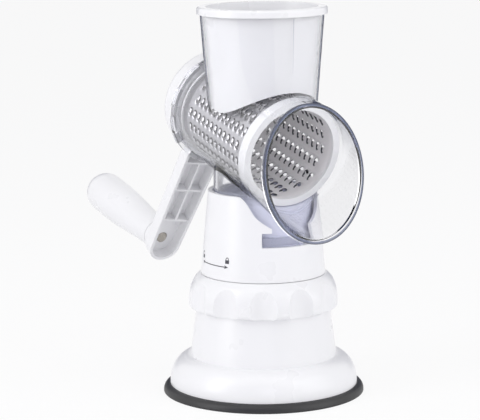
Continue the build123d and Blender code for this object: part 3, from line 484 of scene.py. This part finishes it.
def clear_san(colour, depth, painted_edge_shade):
    """SAN, a clear styrene plastic with a blue toner, moulded in a mirror tool.

    Face on it is almost colourless; where a wall is seen edge on, its colour is
    darkened to slate as painted shade, and the mouth's cut lip is painted navy shade, with hard
    bright glints.
    """
    material, tree, output = new_material("clear_blue_toned_san")
    where = add_node(tree, "ShaderNodeTexCoord")
    wave_size = 14.0 * MM
    waves = add_node(
        tree,
        "ShaderNodeTexNoise",
        {"Scale": 1 / wave_size, "Detail": 1.0},
        {"Vector": where.outputs["Object"]},
    )
    relief = add_node(
        tree,
        "ShaderNodeBump",
        {"Strength": 0.06, "Distance": 0.12 * MM},
        {"Height": waves.outputs["Fac"]},
    )
    # Painted shade: the wall's colour darkens to slate where it is seen edge on, for light dimmed
    # along the tinted wall
    slant = add_node(tree, "ShaderNodeLayerWeight", {"Blend": 0.5})
    along = add_node(
        tree,
        "ShaderNodeMapRange",
        {"From Min": 0.5, "From Max": 0.93},
        {"Value": slant.outputs["Facing"]},
    )
    edge_on_shade = add_node(
        tree,
        "ShaderNodeMix",
        {"data_type": "RGBA", 6: (1, 1, 1, 1), 7: (*linear("474C60"), 1)},
        {0: along.outputs["Result"]},
    )
    wall = add_node(
        tree,
        "ShaderNodeBsdfPrincipled",
        {"Transmission Weight": 1.0, "IOR": 1.5, "Roughness": 0.015},
        {"Base Color": edge_on_shade.outputs[2], "Normal": relief.outputs["Normal"]},
    )
    lip_share, lip_painted_shade = mouth_lip_painted_shade(tree, where, painted_edge_shade)
    lip = add_node(
        tree,
        "ShaderNodeBsdfPrincipled",
        {"Roughness": 0.12, "IOR": 1.5},
        {"Base Color": lip_painted_shade, "Normal": relief.outputs["Normal"]},
    )
    body = add_node(
        tree,
        "ShaderNodeMixShader",
        {},
        {0: lip_share, 1: wall.outputs["BSDF"], 2: lip.outputs["BSDF"]},
    )
    toner = add_node(
        tree, "ShaderNodeVolumeAbsorption", {"Color": (*colour, 1), "Density": depth}
    )
    share = add_node(
        tree,
        "ShaderNodeMath",
        {"operation": "MULTIPLY", 1: 0.75},
        {0: matt_foot_painted_light(tree, where)},
    )
    # Painted light: an opaque pale lavender on the foot, which lightens the shaded inside of the
    # tower
    painted_foot_light = add_node(
        tree,
        "ShaderNodeBsdfPrincipled",
        {"Base Color": (*linear("E6E8F8"), 1), "Roughness": 0.45, "IOR": 1.5},
        {"Normal": relief.outputs["Normal"]},
    )
    skin = add_node(
        tree,
        "ShaderNodeMixShader",
        {},
        {0: share.outputs["Value"], 1: body.outputs["Shader"], 2: painted_foot_light.outputs["BSDF"]},
    )
    # Light reaches what stands behind the thin walls
    path = add_node(tree, "ShaderNodeLightPath")
    pass_through = add_node(tree, "ShaderNodeBsdfTransparent", {"Color": (0.97, 0.97, 0.98, 1)})
    surface = add_node(
        tree,
        "ShaderNodeMixShader",
        {},
        {
            0: path.outputs["Is Shadow Ray"],
            1: skin.outputs["Shader"],
            2: pass_through.outputs["BSDF"],
        },
    )
    tree.links.new(surface.outputs["Shader"], output.inputs["Surface"])
    tree.links.new(toner.outputs["Volume"], output.inputs["Volume"])
    return material


def rolled_stainless(name, colour, roughness, metallic=1.0):
    """Stainless sheet, cold rolled, then electropolished on its outer face.

    It gives a grey that runs from white to near black with what it mirrors, with
    fine rolling lines round the drum; the inner face, left as rolled, is matt, and its near-white
    colour is painted light for the drum's shaded inside.
    """
    material, tree, output = new_material(name)
    where = add_node(tree, "ShaderNodeTexCoord")
    # The real rolling lines are about 0.05 mm apart, too fine to show, so 0.4 mm is drawn
    line_spacing = 0.4 * MM
    line_length = 30.0 * MM
    turned = add_node(
        tree,
        "ShaderNodeMapping",
        {
            "vector_type": "POINT",
            "Rotation": (-drum_axis.angle(Vector((0, -1, 0))), 0, 0),
            "Scale": (1 / line_length, 1 / line_spacing, 1 / line_length),
        },
        {"Vector": where.outputs["Object"]},
    )
    rolled = add_node(
        tree,
        "ShaderNodeTexNoise",
        {"Scale": 1.0, "Detail": 2.0, "Roughness": 0.6},
        {"Vector": turned.outputs["Vector"]},
    )
    gloss = add_node(
        tree,
        "ShaderNodeMapRange",
        {"From Min": 0.3, "From Max": 0.7, "To Min": roughness, "To Max": roughness + 0.12},
        {"Value": rolled.outputs["Fac"]},
    )
    relief = add_node(
        tree,
        "ShaderNodeBump",
        {"Strength": 0.12, "Distance": 0.02 * MM},
        {"Height": rolled.outputs["Fac"]},
    )
    metal = add_node(
        tree,
        "ShaderNodeBsdfPrincipled",
        {"Base Color": (*colour, 1), "Metallic": metallic},
        {"Roughness": gloss.outputs["Result"], "Normal": relief.outputs["Normal"]},
    )
    tree.links.new(metal.outputs["BSDF"], output.inputs["Surface"])
    return material


def sheared_edge_and_painted_shade():
    """The sheet's thickness, laid bare where the tool cut it: torn, rough and dark; the same dark
    steel is painted shade on each hood's outer ring.
    """
    material, tree, output = new_material("sheared_stainless_edge")
    where = add_node(tree, "ShaderNodeTexCoord")
    tear_size = 0.25 * MM
    tears = add_node(
        tree,
        "ShaderNodeTexNoise",
        {"Scale": 1 / tear_size, "Detail": 2.0},
        {"Vector": where.outputs["Object"]},
    )
    tone = add_node(
        tree,
        "ShaderNodeMix",
        {"data_type": "RGBA", 6: (*linear("303036"), 1), 7: (*linear("5C5C62"), 1)},
        {0: tears.outputs["Fac"]},
    )
    metal = add_node(
        tree,
        "ShaderNodeBsdfPrincipled",
        {"Metallic": 1.0, "Roughness": 0.5},
        {"Base Color": tone.outputs[2]},
    )
    tree.links.new(metal.outputs["BSDF"], output.inputs["Surface"])
    return material


def turned_steel():
    """Bright mild steel, turned and nickel plated: round machining lines, warm grey."""
    material, tree, output = new_material("nickel_plated_turned_steel")
    where = add_node(tree, "ShaderNodeTexCoord")
    # The real feed marks are 0.08 mm apart; 0.3 mm is the finest that shows
    feed = 0.3 * MM
    marks = add_node(
        tree,
        "ShaderNodeTexNoise",
        {"Scale": 1 / feed, "Detail": 1.0},
        {"Vector": where.outputs["Object"]},
    )
    gloss = add_node(
        tree,
        "ShaderNodeMapRange",
        {"To Min": 0.18, "To Max": 0.36},
        {"Value": marks.outputs["Fac"]},
    )
    metal = add_node(
        tree,
        "ShaderNodeBsdfPrincipled",
        {"Base Color": (*linear("B9B4AC"), 1), "Metallic": 1.0},
        {"Roughness": gloss.outputs["Result"]},
    )
    tree.links.new(metal.outputs["BSDF"], output.inputs["Surface"])
    return material


def moulded_rubber(colour):
    """Nitrile rubber, compression moulded: near black, satin, with a dusty bloom."""
    material, tree, output = new_material("compression_moulded_nitrile_rubber")
    where = add_node(tree, "ShaderNodeTexCoord")
    grain_size = 0.7 * MM
    bloom_size = 16.0 * MM
    grain = add_node(
        tree,
        "ShaderNodeTexNoise",
        {"Scale": 1 / grain_size, "Detail": 3.0},
        {"Vector": where.outputs["Object"]},
    )
    bloom = add_node(
        tree,
        "ShaderNodeTexNoise",
        {"Scale": 1 / bloom_size, "Detail": 4.0, "Roughness": 0.6},
        {"Vector": where.outputs["Object"]},
    )
    tone = add_node(
        tree,
        "ShaderNodeMix",
        {"data_type": "RGBA", 6: (*colour, 1), 7: (*[c * 1.7 + 0.004 for c in colour], 1)},
        {0: bloom.outputs["Fac"]},
    )
    relief = add_node(
        tree,
        "ShaderNodeBump",
        {"Strength": 0.15, "Distance": 0.06 * MM},
        {"Height": grain.outputs["Fac"]},
    )
    skin = add_node(
        tree,
        "ShaderNodeBsdfPrincipled",
        {"Roughness": 0.46, "IOR": 1.52},
        {"Base Color": tone.outputs[2], "Normal": relief.outputs["Normal"]},
    )
    tree.links.new(skin.outputs["BSDF"], output.inputs["Surface"])
    return material


def printed_ink(colour):
    """Pad-printed ink: a thin matt film with slightly uneven cover."""
    material, tree, output = new_material("pad_printed_ink")
    where = add_node(tree, "ShaderNodeTexCoord")
    cover_size = 0.5 * MM
    cover = add_node(
        tree,
        "ShaderNodeTexNoise",
        {"Scale": 1 / cover_size, "Detail": 2.0},
        {"Vector": where.outputs["Object"]},
    )
    tone = add_node(
        tree,
        "ShaderNodeMix",
        {"data_type": "RGBA", 6: (*colour, 1), 7: (*[c * 1.6 for c in colour], 1)},
        {0: cover.outputs["Fac"]},
    )
    film = add_node(
        tree,
        "ShaderNodeBsdfPrincipled",
        {"Roughness": 0.55, "IOR": 1.5},
        {"Base Color": tone.outputs[2]},
    )
    tree.links.new(film.outputs["BSDF"], output.inputs["Surface"])
    return material


def parting_shade():
    """The shaded flank of a moulded ridge in clear SAN: a thin grey line."""
    material, tree, output = new_material("san_ridge_painted_shade")
    where = add_node(tree, "ShaderNodeTexCoord")
    # Painted shade: the ridge's grey varies at random along the line
    shade_mottle_size = 6.0 * MM
    shade_mottle = add_node(
        tree,
        "ShaderNodeTexNoise",
        {"Scale": 1 / shade_mottle_size, "Detail": 2.0},
        {"Vector": where.outputs["Object"]},
    )
    tone = add_node(
        tree,
        "ShaderNodeMix",
        {"data_type": "RGBA", 6: (*linear("A9AAB8"), 1), 7: (*linear("C6C7D4"), 1)},
        {0: shade_mottle.outputs["Fac"]},
    )
    flank = add_node(
        tree,
        "ShaderNodeBsdfPrincipled",
        {"Roughness": 0.25, "IOR": 1.5},
        {"Base Color": tone.outputs[2]},
    )
    tree.links.new(flank.outputs["BSDF"], output.inputs["Surface"])
    return material


def seen_directly(tree):
    """A mask of the rays that show a thing itself: camera, transmission and glossy rays."""
    path = add_node(tree, "ShaderNodeLightPath")
    through = add_node(
        tree,
        "ShaderNodeMath",
        {"operation": "MAXIMUM"},
        {0: path.outputs["Is Camera Ray"], 1: path.outputs["Is Transmission Ray"]},
    )
    seen = add_node(
        tree,
        "ShaderNodeMath",
        {"operation": "MAXIMUM"},
        {0: through.outputs["Value"], 1: path.outputs["Is Glossy Ray"]},
    )
    return seen.outputs["Value"]


def dress(names, material):
    """Gives CAD nodes a finish."""
    for name in names:
        mesh = nodes[name].data
        mesh.materials.clear()
        mesh.materials.append(material)


def finish_named(name, make):
    """A finish that several operators share, made once."""
    return bpy.data.materials.get(name) or make()


def white_body():
    """The finish of the white mouldings."""
    colour = bpy.context.scene.shredder_mouldings.white_abs
    return finish_named(
        "polished_white_abs", lambda: moulded_abs("polished_white_abs", colour)
    )


def bright_steel():
    """The finish of pins and screws."""
    return finish_named("nickel_plated_turned_steel", turned_steel)


def mesh_of(sheet, name):
    """Turns a bmesh into a named mesh, and frees it."""
    mesh = bpy.data.meshes.new(name)
    sheet.to_mesh(mesh)
    sheet.free()
    return mesh


def in_scene(name, data):
    """A new object of a mesh, lamp or camera, in the scene."""
    thing = bpy.data.objects.new(name, data)
    bpy.context.scene.collection.objects.link(thing)
    return thing


def new_piece(name, mesh, material, body):
    """Puts a mesh in the scene as a piece that rides on a CAD body."""
    piece = in_scene(name, mesh)
    mesh.materials.append(material)
    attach(piece, body)
    return piece


# ---------------------------------------------------------------- operators


class SHREDDER_OT_suction_foot(bpy.types.Operator):
    """Dress the rubber pad, the bell, the lock ring and the lift inside them"""

    bl_idname = "shredder.suction_foot"
    bl_label = "Suction foot"

    def execute(self, context):
        rubber = moulded_rubber(context.scene.shredder_mouldings.black_rubber)
        dress(["suction_pad"], rubber)
        dress(["base_bell", "lock_ring", "suction_stem", "glide_washer"], white_body())
        dress(["cross_pin", "tower_screws"], bright_steel())
        return {"FINISHED"}


class SHREDDER_OT_tower(bpy.types.Operator):
    """Dress the tower and print its lock marks"""

    bl_idname = "shredder.tower"
    bl_label = "Tower and lock marks"

    def execute(self, context):
        dress(["tower"], white_body())
        marks = context.scene.shredder_marks
        start, end = radians(-106.0), radians(-66.5)
        closed_lock, open_lock, swing = radians(-67.0), radians(-106.5), radians(32.0)
        on_tower, girth = self.find_cone()
        sheet = bmesh.new()

        def print_patch(outline):
            """Prints a filled outline of (angle, height) points."""
            sheet.faces.new([sheet.verts.new(on_tower(*point)) for point in outline])

        self.print_arrow(print_patch, start, end, marks.arrow_z, marks.stroke / 2, girth)
        self.print_padlock(print_patch, closed_lock, marks.arrow_z, 0.0, girth)
        self.print_padlock(print_patch, open_lock, marks.arrow_z, swing, girth)
        bmesh.ops.recalc_face_normals(sheet, faces=sheet.faces)
        mesh = mesh_of(sheet, "tower_lock_marks")
        new_piece("tower_lock_marks", mesh, printed_ink(marks.ink), "base")
        return {"FINISHED"}

    def find_cone(self):
        """What finds a point a film's thickness above the tower's cone, and its foot's radius."""
        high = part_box("tower")[1]
        rim, slack, film = 0.2 * MM, 0.05 * MM, 0.06 * MM
        cone = [v.co for v in nodes["tower"].data.vertices]
        top = max(v.xy.length for v in cone if v.z > high.z - rim)
        foot_z = max(v.z for v in cone if v.xy.length > high.x - slack)
        foot = high.x

        def on_tower(across, z):
            """A point on the tower's cone: across is an angle from -Y towards +X."""
            radius = foot + (top - foot) * (z - foot_z) / (high.z - foot_z) + film
            return Vector((radius * sin(across), -radius * cos(across), z))

        return on_tower, foot

    def print_arrow(self, print_patch, start, end, z, half, girth):
        """The arrow that says which way the housing twists to lock."""
        steps = 24
        tip_out, head, head_half, notch = 0.6 * MM, 2.4 * MM, 1.1 * MM, 0.75
        for step in range(steps):
            a0 = start + (end - start) * step / steps
            a1 = start + (end - start) * (step + 1) / steps
            print_patch([(a0, z - half), (a1, z - half), (a1, z + half), (a0, z + half)])
        for tip, back in ((end, -1), (start, 1)):
            reach = head / girth * back
            print_patch(
                [
                    (tip - tip_out / girth * back, z),
                    (tip + reach, z - head_half),
                    (tip + reach * notch, z),
                    (tip + reach, z + head_half),
                ]
            )

    def print_padlock(self, print_patch, centre, arrow_z, turn, girth):
        """A padlock over the arrow: its bow turns on its left leg when it is open."""
        body_w, body_h, lift = 3.0 * MM, 2.2 * MM, 2.2 * MM
        bow, leg, open_leg, wire = 0.95 * MM, 0.5 * MM, 0.3 * MM, 0.5 * MM
        parts = 10
        base = arrow_z + lift
        box = [(-body_w / 2, 0), (body_w / 2, 0), (body_w / 2, body_h), (-body_w / 2, body_h)]
        print_patch([(centre + x / girth, base + y) for x, y in box])
        arc = [(-bow, 0.0), (-bow, leg)]
        arc += [
            (bow * cos(pi - pi * k / parts), leg + bow * sin(pi * k / parts))
            for k in range(1, parts + 1)
        ]
        arc += [(bow, open_leg if turn else 0.0)]
        arc = [
            (-bow + (x + bow) * cos(turn) - y * sin(turn), (x + bow) * sin(turn) + y * cos(turn))
            for x, y in arc
        ]
        for (x0, y0), (x1, y1) in zip(arc, arc[1:]):
            run = sqrt((x1 - x0) ** 2 + (y1 - y0) ** 2)
            nx, ny = -(y1 - y0) / run * wire / 2, (x1 - x0) / run * wire / 2
            ends = [(x0 - nx, y0 - ny), (x1 - nx, y1 - ny), (x1 + nx, y1 + ny), (x0 + nx, y0 + ny)]
            print_patch([(centre + x / girth, base + body_h + y) for x, y in ends])


class SHREDDER_OT_clear_housing(bpy.types.Operator):
    """Make the hopper, tube and outlet clear, and add the parting line"""

    bl_idname = "shredder.clear_housing"
    bl_label = "Clear housing"

    def execute(self, context):
        mouldings = context.scene.shredder_mouldings
        clear = clear_san(mouldings.clear_san, mouldings.tint_depth, mouldings.painted_edge_shade)
        dress(["clear_housing"], clear)
        dress(["rear_bearing"], white_body())
        self.draw_parting_line()
        return {"FINISHED"}

    def draw_parting_line(self):
        """The fine ridge that the tool's two halves leave down the hopper's front."""
        tree = BVHTree.FromObject(
            nodes["clear_housing"], bpy.context.evaluated_depsgraph_get()
        )
        ridge = bmesh.new()
        half, proud, sunk, outside = 0.16 * MM, 0.07 * MM, 0.02 * MM, 200 * MM
        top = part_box("clear_housing")[1].z - 0.6 * MM
        foot = 201.5 * MM
        steps = 34
        narrowing = 0.7
        rows = []
        for step in range(steps + 1):
            fade = 1 - narrowing * step / steps
            z = top - (top - foot) * step / steps
            hit = tree.ray_cast(Vector((0, -outside, z)), Vector((0, 1, 0)))[0]
            if hit is None:
                raise RuntimeError("the parting line found no hopper wall")
            rows.append(
                [
                    ridge.verts.new((x * fade, hit.y - lift, z))
                    for x, lift in ((-half, -sunk), (0, proud), (half, -sunk))
                ]
            )
        for upper, lower in zip(rows, rows[1:]):
            for k in (0, 1):
                ridge.faces.new([upper[k], lower[k], lower[k + 1], upper[k + 1]])
        bmesh.ops.recalc_face_normals(ridge, faces=ridge.faces)
        mesh = mesh_of(ridge, "hopper_parting_line")
        new_piece("hopper_parting_line", mesh, parting_shade(), "housing")


class SHREDDER_OT_pusher(bpy.types.Operator):
    """Dress the pusher"""

    bl_idname = "shredder.pusher"
    bl_label = "Pusher"

    def execute(self, context):
        dress(["pusher"], white_body())
        return {"FINISHED"}


class SHREDDER_OT_screen_drum(bpy.types.Operator):
    """Draw the pierced screen with its hooded teeth, and dress the drum's ends"""

    bl_idname = "shredder.screen_drum"
    bl_label = "Screen drum"

    def execute(self, context):
        sizes = context.scene.shredder_screen
        matt, torn_edge_and_shade = 1, 2
        mesh = self.draw_sheet(sizes, torn_edge_and_shade)
        steel = rolled_stainless("electropolished_stainless_sheet", sizes.steel, 0.33)
        screen = new_piece("pierced_screen", mesh, steel, "crank_drive")
        # Painted light: a near-white, barely metallic inner face lightens the drum's shaded inside
        mesh.materials.append(
            rolled_stainless("mill_finish_painted_light_steel", sizes.inside, 0.45, 0.15)
        )
        mesh.materials.append(sheared_edge_and_painted_shade())
        thick = screen.modifiers.new("sheet thickness", "SOLIDIFY")
        thick.thickness = sizes.sheet
        thick.offset = -1.0
        thick.material_offset = matt
        thick.material_offset_rim = torn_edge_and_shade
        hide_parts("drum_screen")
        dress(["drum_screen"], steel)
        dress(["drum_front_ring", "drum_hub", "drive_hub"], white_body())
        return {"FINISHED"}

    def measure_drum(self):
        """The CAD screen's ends along the axis, and its outer radius at each."""
        near = 0.3 * MM
        measured = [place_and_radius(v.co) for v in nodes["drum_screen"].data.vertices]
        rear = min(place for place, radius in measured)
        front = max(place for place, radius in measured)
        rear_radius = max(radius for place, radius in measured if place < rear + near)
        front_radius = max(radius for place, radius in measured if place > front - near)
        return rear, front, rear_radius, front_radius

    def tooth_cell(self, sizes, inner, rings, cell_angle, middle_radius):
        """A tooth's cell as a square grid of (along, round, lift) points, in metres.

        The inner steps cover the tooth, a raised hood beside an oval hole; the rings
        round it lead out to the cell's straight edges.
        """
        hood = sizes.hood_length
        hole = sizes.hole_length
        dip = 0.25 * MM

        def cell_point(i, j):
            ring = max(abs(i), abs(j), 1)
            p, q = (i / inner, j / inner) if ring <= inner else (i / ring, j / ring)
            x = p * sqrt(1 - q * q / 2)
            y = q * sqrt(1 - p * p / 2)
            along = x * sizes.width / 2
            around = y * (hood if y < 0 else hole) + (hood - hole) / 2
            if ring <= inner:
                inside = max(0.0, 1 - x * x - y * y)
                return along, around, sizes.height * inside**0.5 if j <= 0 else -dip * y * y
            share = (ring - inner) / rings
            along += (p * sizes.pitch / 2 - along) * share
            around += (q * cell_angle * middle_radius / 2 - around) * share
            return along, around, 0.0 if y <= 0 else -dip * y * y * (1 - share)

        steps = range(-inner - rings, inner + rings + 1)
        return {(i, j): cell_point(i, j) for i in steps for j in steps}

    def draw_sheet(self, sizes, torn_edge_and_shade):
        """The screen's outer face, with all its teeth, as a mesh."""
        rear, front, rear_radius, front_radius = self.measure_drum()
        middle_radius = (rear_radius + front_radius) / 2
        cell_angle = 2 * pi / sizes.rows
        inner, rings = 5, 1
        reach = inner + rings
        pattern = self.tooth_cell(sizes, inner, rings, cell_angle, middle_radius)
        sheet = bmesh.new()

        def on_screen(place, angle, lift):
            """A point on the cone: angle counts from +X towards the drum's top."""
            share = (place - rear) / (front - rear)
            radius = rear_radius + share * (front_radius - rear_radius) + lift
            out = Vector((1, 0, 0)) * cos(angle) + drum_up * sin(angle)
            return drum_origin + drum_axis * place + out * radius

        def lay(corners):
            """One face of the sheet, with its outer side out."""
            return sheet.faces.new(
                [
                    sheet.verts.new(on_screen(place, angle, lift))
                    for place, angle, lift in corners
                ]
            )

        step = sizes.pitch / (2 * reach)
        shift_steps = 2 * reach // sizes.stagger
        most_shift = shift_steps * (sizes.stagger - 1)
        band_start = sizes.first - sizes.pitch / 2
        for row in range(sizes.rows):
            angle = sizes.phase + cell_angle * row
            shift = row % sizes.stagger * shift_steps
            for tooth in range(sizes.teeth):
                centre = sizes.first + sizes.pitch * tooth + shift * step
                for i in range(-reach, reach):
                    for j in range(-reach, reach):
                        if -inner <= i < inner and 0 <= j < inner:
                            continue
                        around_cell = ((i, j), (i, j + 1), (i + 1, j + 1), (i + 1, j))
                        points = [pattern[key] for key in around_cell]
                        face = lay(
                            [(centre + a, angle + r / middle_radius, h) for a, r, h in points]
                        )
                        # Painted shade: a hood's outermost ring takes the dark cut-edge steel, a
                        # dark outline round the tooth
                        edge = max(abs(i + 0.5), abs(j + 0.5))
                        if j < 0 and inner - 1 < edge < inner:
                            face.material_index = torn_edge_and_shade
            # Plain margins, in steps that meet the next row's cells
            start = band_start + shift * step
            end = start + sizes.pitch * sizes.teeth
            cuts = [rear] + [band_start + k * step for k in range(shift + 1)]
            cuts_after = [end + k * step for k in range(most_shift - shift + 1)] + [front]
            for line in (cuts, cuts_after):
                for low, high in zip(line, line[1:]):
                    for j in range(-reach, reach):
                        a0 = angle + cell_angle / 2 * j / reach
                        a1 = angle + cell_angle / 2 * (j + 1) / reach
                        lay([(low, a0, 0), (low, a1, 0), (high, a1, 0), (high, a0, 0)])
        join = 0.01 * MM
        bmesh.ops.remove_doubles(sheet, verts=sheet.verts, dist=join)
        for face in sheet.faces:
            face.smooth = True
        for edge in sheet.edges:
            finishes = {face.material_index for face in edge.link_faces}
            edge.smooth = len(finishes) < 2
        return mesh_of(sheet, "pierced_screen")


class SHREDDER_OT_crank(bpy.types.Operator):
    """Dress the crank with its screw and cover"""

    bl_idname = "shredder.crank"
    bl_label = "Crank"

    def execute(self, context):
        dress(["crank", "hub_cover"], white_body())
        dress(["hub_screw"], bright_steel())
        return {"FINISHED"}


class SHREDDER_OT_knob(bpy.types.Operator):
    """Dress the knob with its spindle and nut"""

    bl_idname = "shredder.knob"
    bl_label = "Knob"

    def execute(self, context):
        dress(["knob_sleeve", "knob_plug"], white_body())
        dress(["knob_spindle", "push_nut"], bright_steel())
        return {"FINISHED"}


class SHREDDER_OT_stage(bpy.types.Operator):
    """Set the floor, the lights, the flags beside the view and the camera"""

    bl_idname = "shredder.stage"
    bl_label = "Studio"

    def execute(self, context):
        stage = context.scene.shredder_stage
        self.set_room(context, stage)
        self.lay_floor()
        self.hang_lights(stage)
        self.stand_flags(stage)
        self.aim_camera(context, stage)
        context.scene.view_settings.view_transform = "Standard"
        return {"FINISHED"}

    def set_room(self, context, stage):
        """Even light from all round, which the camera, metal and clear plastic see as white."""
        world = bpy.data.worlds.new("white_room")
        context.scene.world = world
        world.use_nodes = True
        tree = world.node_tree
        tree.nodes.clear()
        light = add_node(
            tree,
            "ShaderNodeBackground",
            {"Color": (*stage.sky, 1), "Strength": stage.sky_strength},
        )
        white = add_node(tree, "ShaderNodeBackground", {"Color": (1, 1, 1, 1), "Strength": 1.0})
        both = add_node(
            tree,
            "ShaderNodeMixShader",
            {},
            {
                0: seen_directly(tree),
                1: light.outputs["Background"],
                2: white.outputs["Background"],
            },
        )
        add_node(tree, "ShaderNodeOutputWorld", {}, {"Surface": both.outputs["Shader"]})

    def lay_floor(self):
        """A wide pale floor that the camera sees as white with the object's soft shadow."""
        half = 6.0
        glow_share = 0.85
        sheet = bmesh.new()
        corners = ((-half, -half), (half, -half), (half, half), (-half, half))
        sheet.faces.new([sheet.verts.new((x, y, 0)) for x, y in corners])
        mesh = mesh_of(sheet, "studio_floor")
        material, tree, output = new_material("white_paper_floor")
        share = add_node(
            tree,
            "ShaderNodeMath",
            {"operation": "MULTIPLY", 1: glow_share},
            {0: seen_directly(tree)},
        )
        paper = add_node(tree, "ShaderNodeBsdfDiffuse", {"Color": (0.9, 0.9, 0.91, 1)})
        glow = add_node(tree, "ShaderNodeEmission", {"Color": (1, 1, 1, 1), "Strength": 1.0})
        both = add_node(
            tree,
            "ShaderNodeMixShader",
            {},
            {
                0: share.outputs["Value"],
                1: paper.outputs["BSDF"],
                2: glow.outputs["Emission"],
            },
        )
        tree.links.new(both.outputs["Shader"], output.inputs["Surface"])
        mesh.materials.append(material)
        in_scene("studio_floor", mesh)

    def hang_lights(self, stage):
        """Tall soft boxes left and right, a wide one overhead and a weak one in front."""
        target = Vector((0, 0, 0.13))
        # Turn from the camera and rise in degrees, then distance, width and height in metres
        boxes = (
            ("key_softbox", -62, 24, 1.1, 0.42, 1.15, 4.6),
            ("fill_softbox", 66, 22, 1.15, 0.95, 1.1, 4.2),
            ("top_softbox", 8, 78, 1.0, 0.65, 0.9, 1.1),
            ("front_softbox", 4, 12, 1.5, 0.5, 0.5, 1.4),
        )
        for name, turn, rise, away, width, height, watts in boxes:
            lamp = bpy.data.lights.new(name, "AREA")
            lamp.shape = "RECTANGLE"
            lamp.size = width
            lamp.size_y = height
            lamp.energy = watts
            light = in_scene(name, lamp)
            turn = stage.azimuth + radians(turn)
            rise = radians(rise)
            out = Vector((sin(turn) * cos(rise), -cos(turn) * cos(rise), sin(rise)))
            light.location = target + out * away
            light.rotation_euler = out.to_track_quat("Z", "Y").to_euler()

    def stand_flags(self, stage):
        """Cards that only reflections see: two slate ones behind, which draw the clear
        plastic's outlines, and a pale lavender one in front, which shades its middle."""
        top = 0.62
        # Turn from the camera in degrees, then distance and half width in metres
        cards = (
            ("left_flag", -157, 0.8, 0.2, "3F4660"),
            ("right_flag", 157, 0.8, 0.2, "3F4660"),
            ("front_card", -7, 0.75, 0.47, "A19DBE"),
        )
        for name, turn, away, half_width, colour in cards:
            material, tree, output = new_material(f"{name}_board")
            board = add_node(tree, "ShaderNodeBsdfDiffuse", {"Color": (*linear(colour), 1)})
            tree.links.new(board.outputs["BSDF"], output.inputs["Surface"])
            turn = stage.azimuth + radians(turn)
            out = Vector((sin(turn), -cos(turn), 0))
            side = Vector((-out.y, out.x, 0))
            sheet = bmesh.new()
            sheet.faces.new(
                [
                    sheet.verts.new(out * away + side * half_width * s + Vector((0, 0, z)))
                    for s, z in ((-1, 0), (1, 0), (1, top), (-1, top))
                ]
            )
            mesh = mesh_of(sheet, name)
            mesh.materials.append(material)
            card = in_scene(name, mesh)
            card.visible_camera = False
            card.visible_shadow = False
            card.visible_diffuse = False
            card.visible_transmission = False

    def aim_camera(self, context, stage):
        """The photograph's own viewpoint and framing."""
        lens = bpy.data.cameras.new("photo_view")
        lens.lens = stage.lens
        lens.sensor_width = 36.0
        lens.dof.use_dof = False
        camera = in_scene("photo_view", lens)
        level = Vector((-sin(stage.azimuth), cos(stage.azimuth), 0))
        right = Vector((cos(stage.azimuth), sin(stage.azimuth), 0))
        up = Vector((0, 0, 1))
        ahead = level * cos(stage.yaw) + right * sin(stage.yaw)
        right = right * cos(stage.yaw) - level * sin(stage.yaw)
        forward = ahead * cos(stage.pitch) - up * sin(stage.pitch)
        upward = up * cos(stage.pitch) + ahead * sin(stage.pitch)
        across = right * cos(stage.roll) + upward * sin(stage.roll)
        upright = upward * cos(stage.roll) - right * sin(stage.roll)
        spot = -level * stage.distance + up * stage.height
        columns = Matrix((across, upright, -forward)).transposed().to_4x4()
        camera.matrix_world = Matrix.Translation(spot) @ columns
        context.scene.camera = camera


class SHREDDER_PT_panel(bpy.types.Panel):
    """Lists the shredder's pieces in the sidebar."""

    bl_label = "Drum shredder"
    bl_space_type = "VIEW_3D"
    bl_region_type = "UI"
    bl_category = "Shredder"

    def draw(self, context):
        for piece in piece_operators:
            self.layout.operator(piece.bl_idname, text=piece.bl_label)
        for group_name, group in settings_groups.items():
            box = self.layout.box()
            box.label(text=group.__doc__)
            for key in group.__annotations__:
                box.prop(getattr(context.scene, group_name), key)


piece_operators = (
    SHREDDER_OT_suction_foot,
    SHREDDER_OT_tower,
    SHREDDER_OT_clear_housing,
    SHREDDER_OT_pusher,
    SHREDDER_OT_screen_drum,
    SHREDDER_OT_crank,
    SHREDDER_OT_knob,
    SHREDDER_OT_stage,
)


def register():
    for group_name, group in settings_groups.items():
        bpy.utils.register_class(group)
        setattr(bpy.types.Scene, group_name, PointerProperty(type=group))
    for piece in piece_operators:
        bpy.utils.register_class(piece)
    bpy.utils.register_class(SHREDDER_PT_panel)


def unregister():
    bpy.utils.unregister_class(SHREDDER_PT_panel)
    for piece in reversed(piece_operators):
        bpy.utils.unregister_class(piece)
    for group_name, group in settings_groups.items():
        delattr(bpy.types.Scene, group_name)
        bpy.utils.unregister_class(group)


def main():
    """Makes every piece in order."""
    register()
    bpy.ops.shredder.suction_foot()
    bpy.ops.shredder.tower()
    bpy.ops.shredder.clear_housing()
    bpy.ops.shredder.pusher()
    bpy.ops.shredder.screen_drum()
    bpy.ops.shredder.crank()
    bpy.ops.shredder.knob()
    bpy.ops.shredder.stage()


if __name__ == "__main__":
    main()
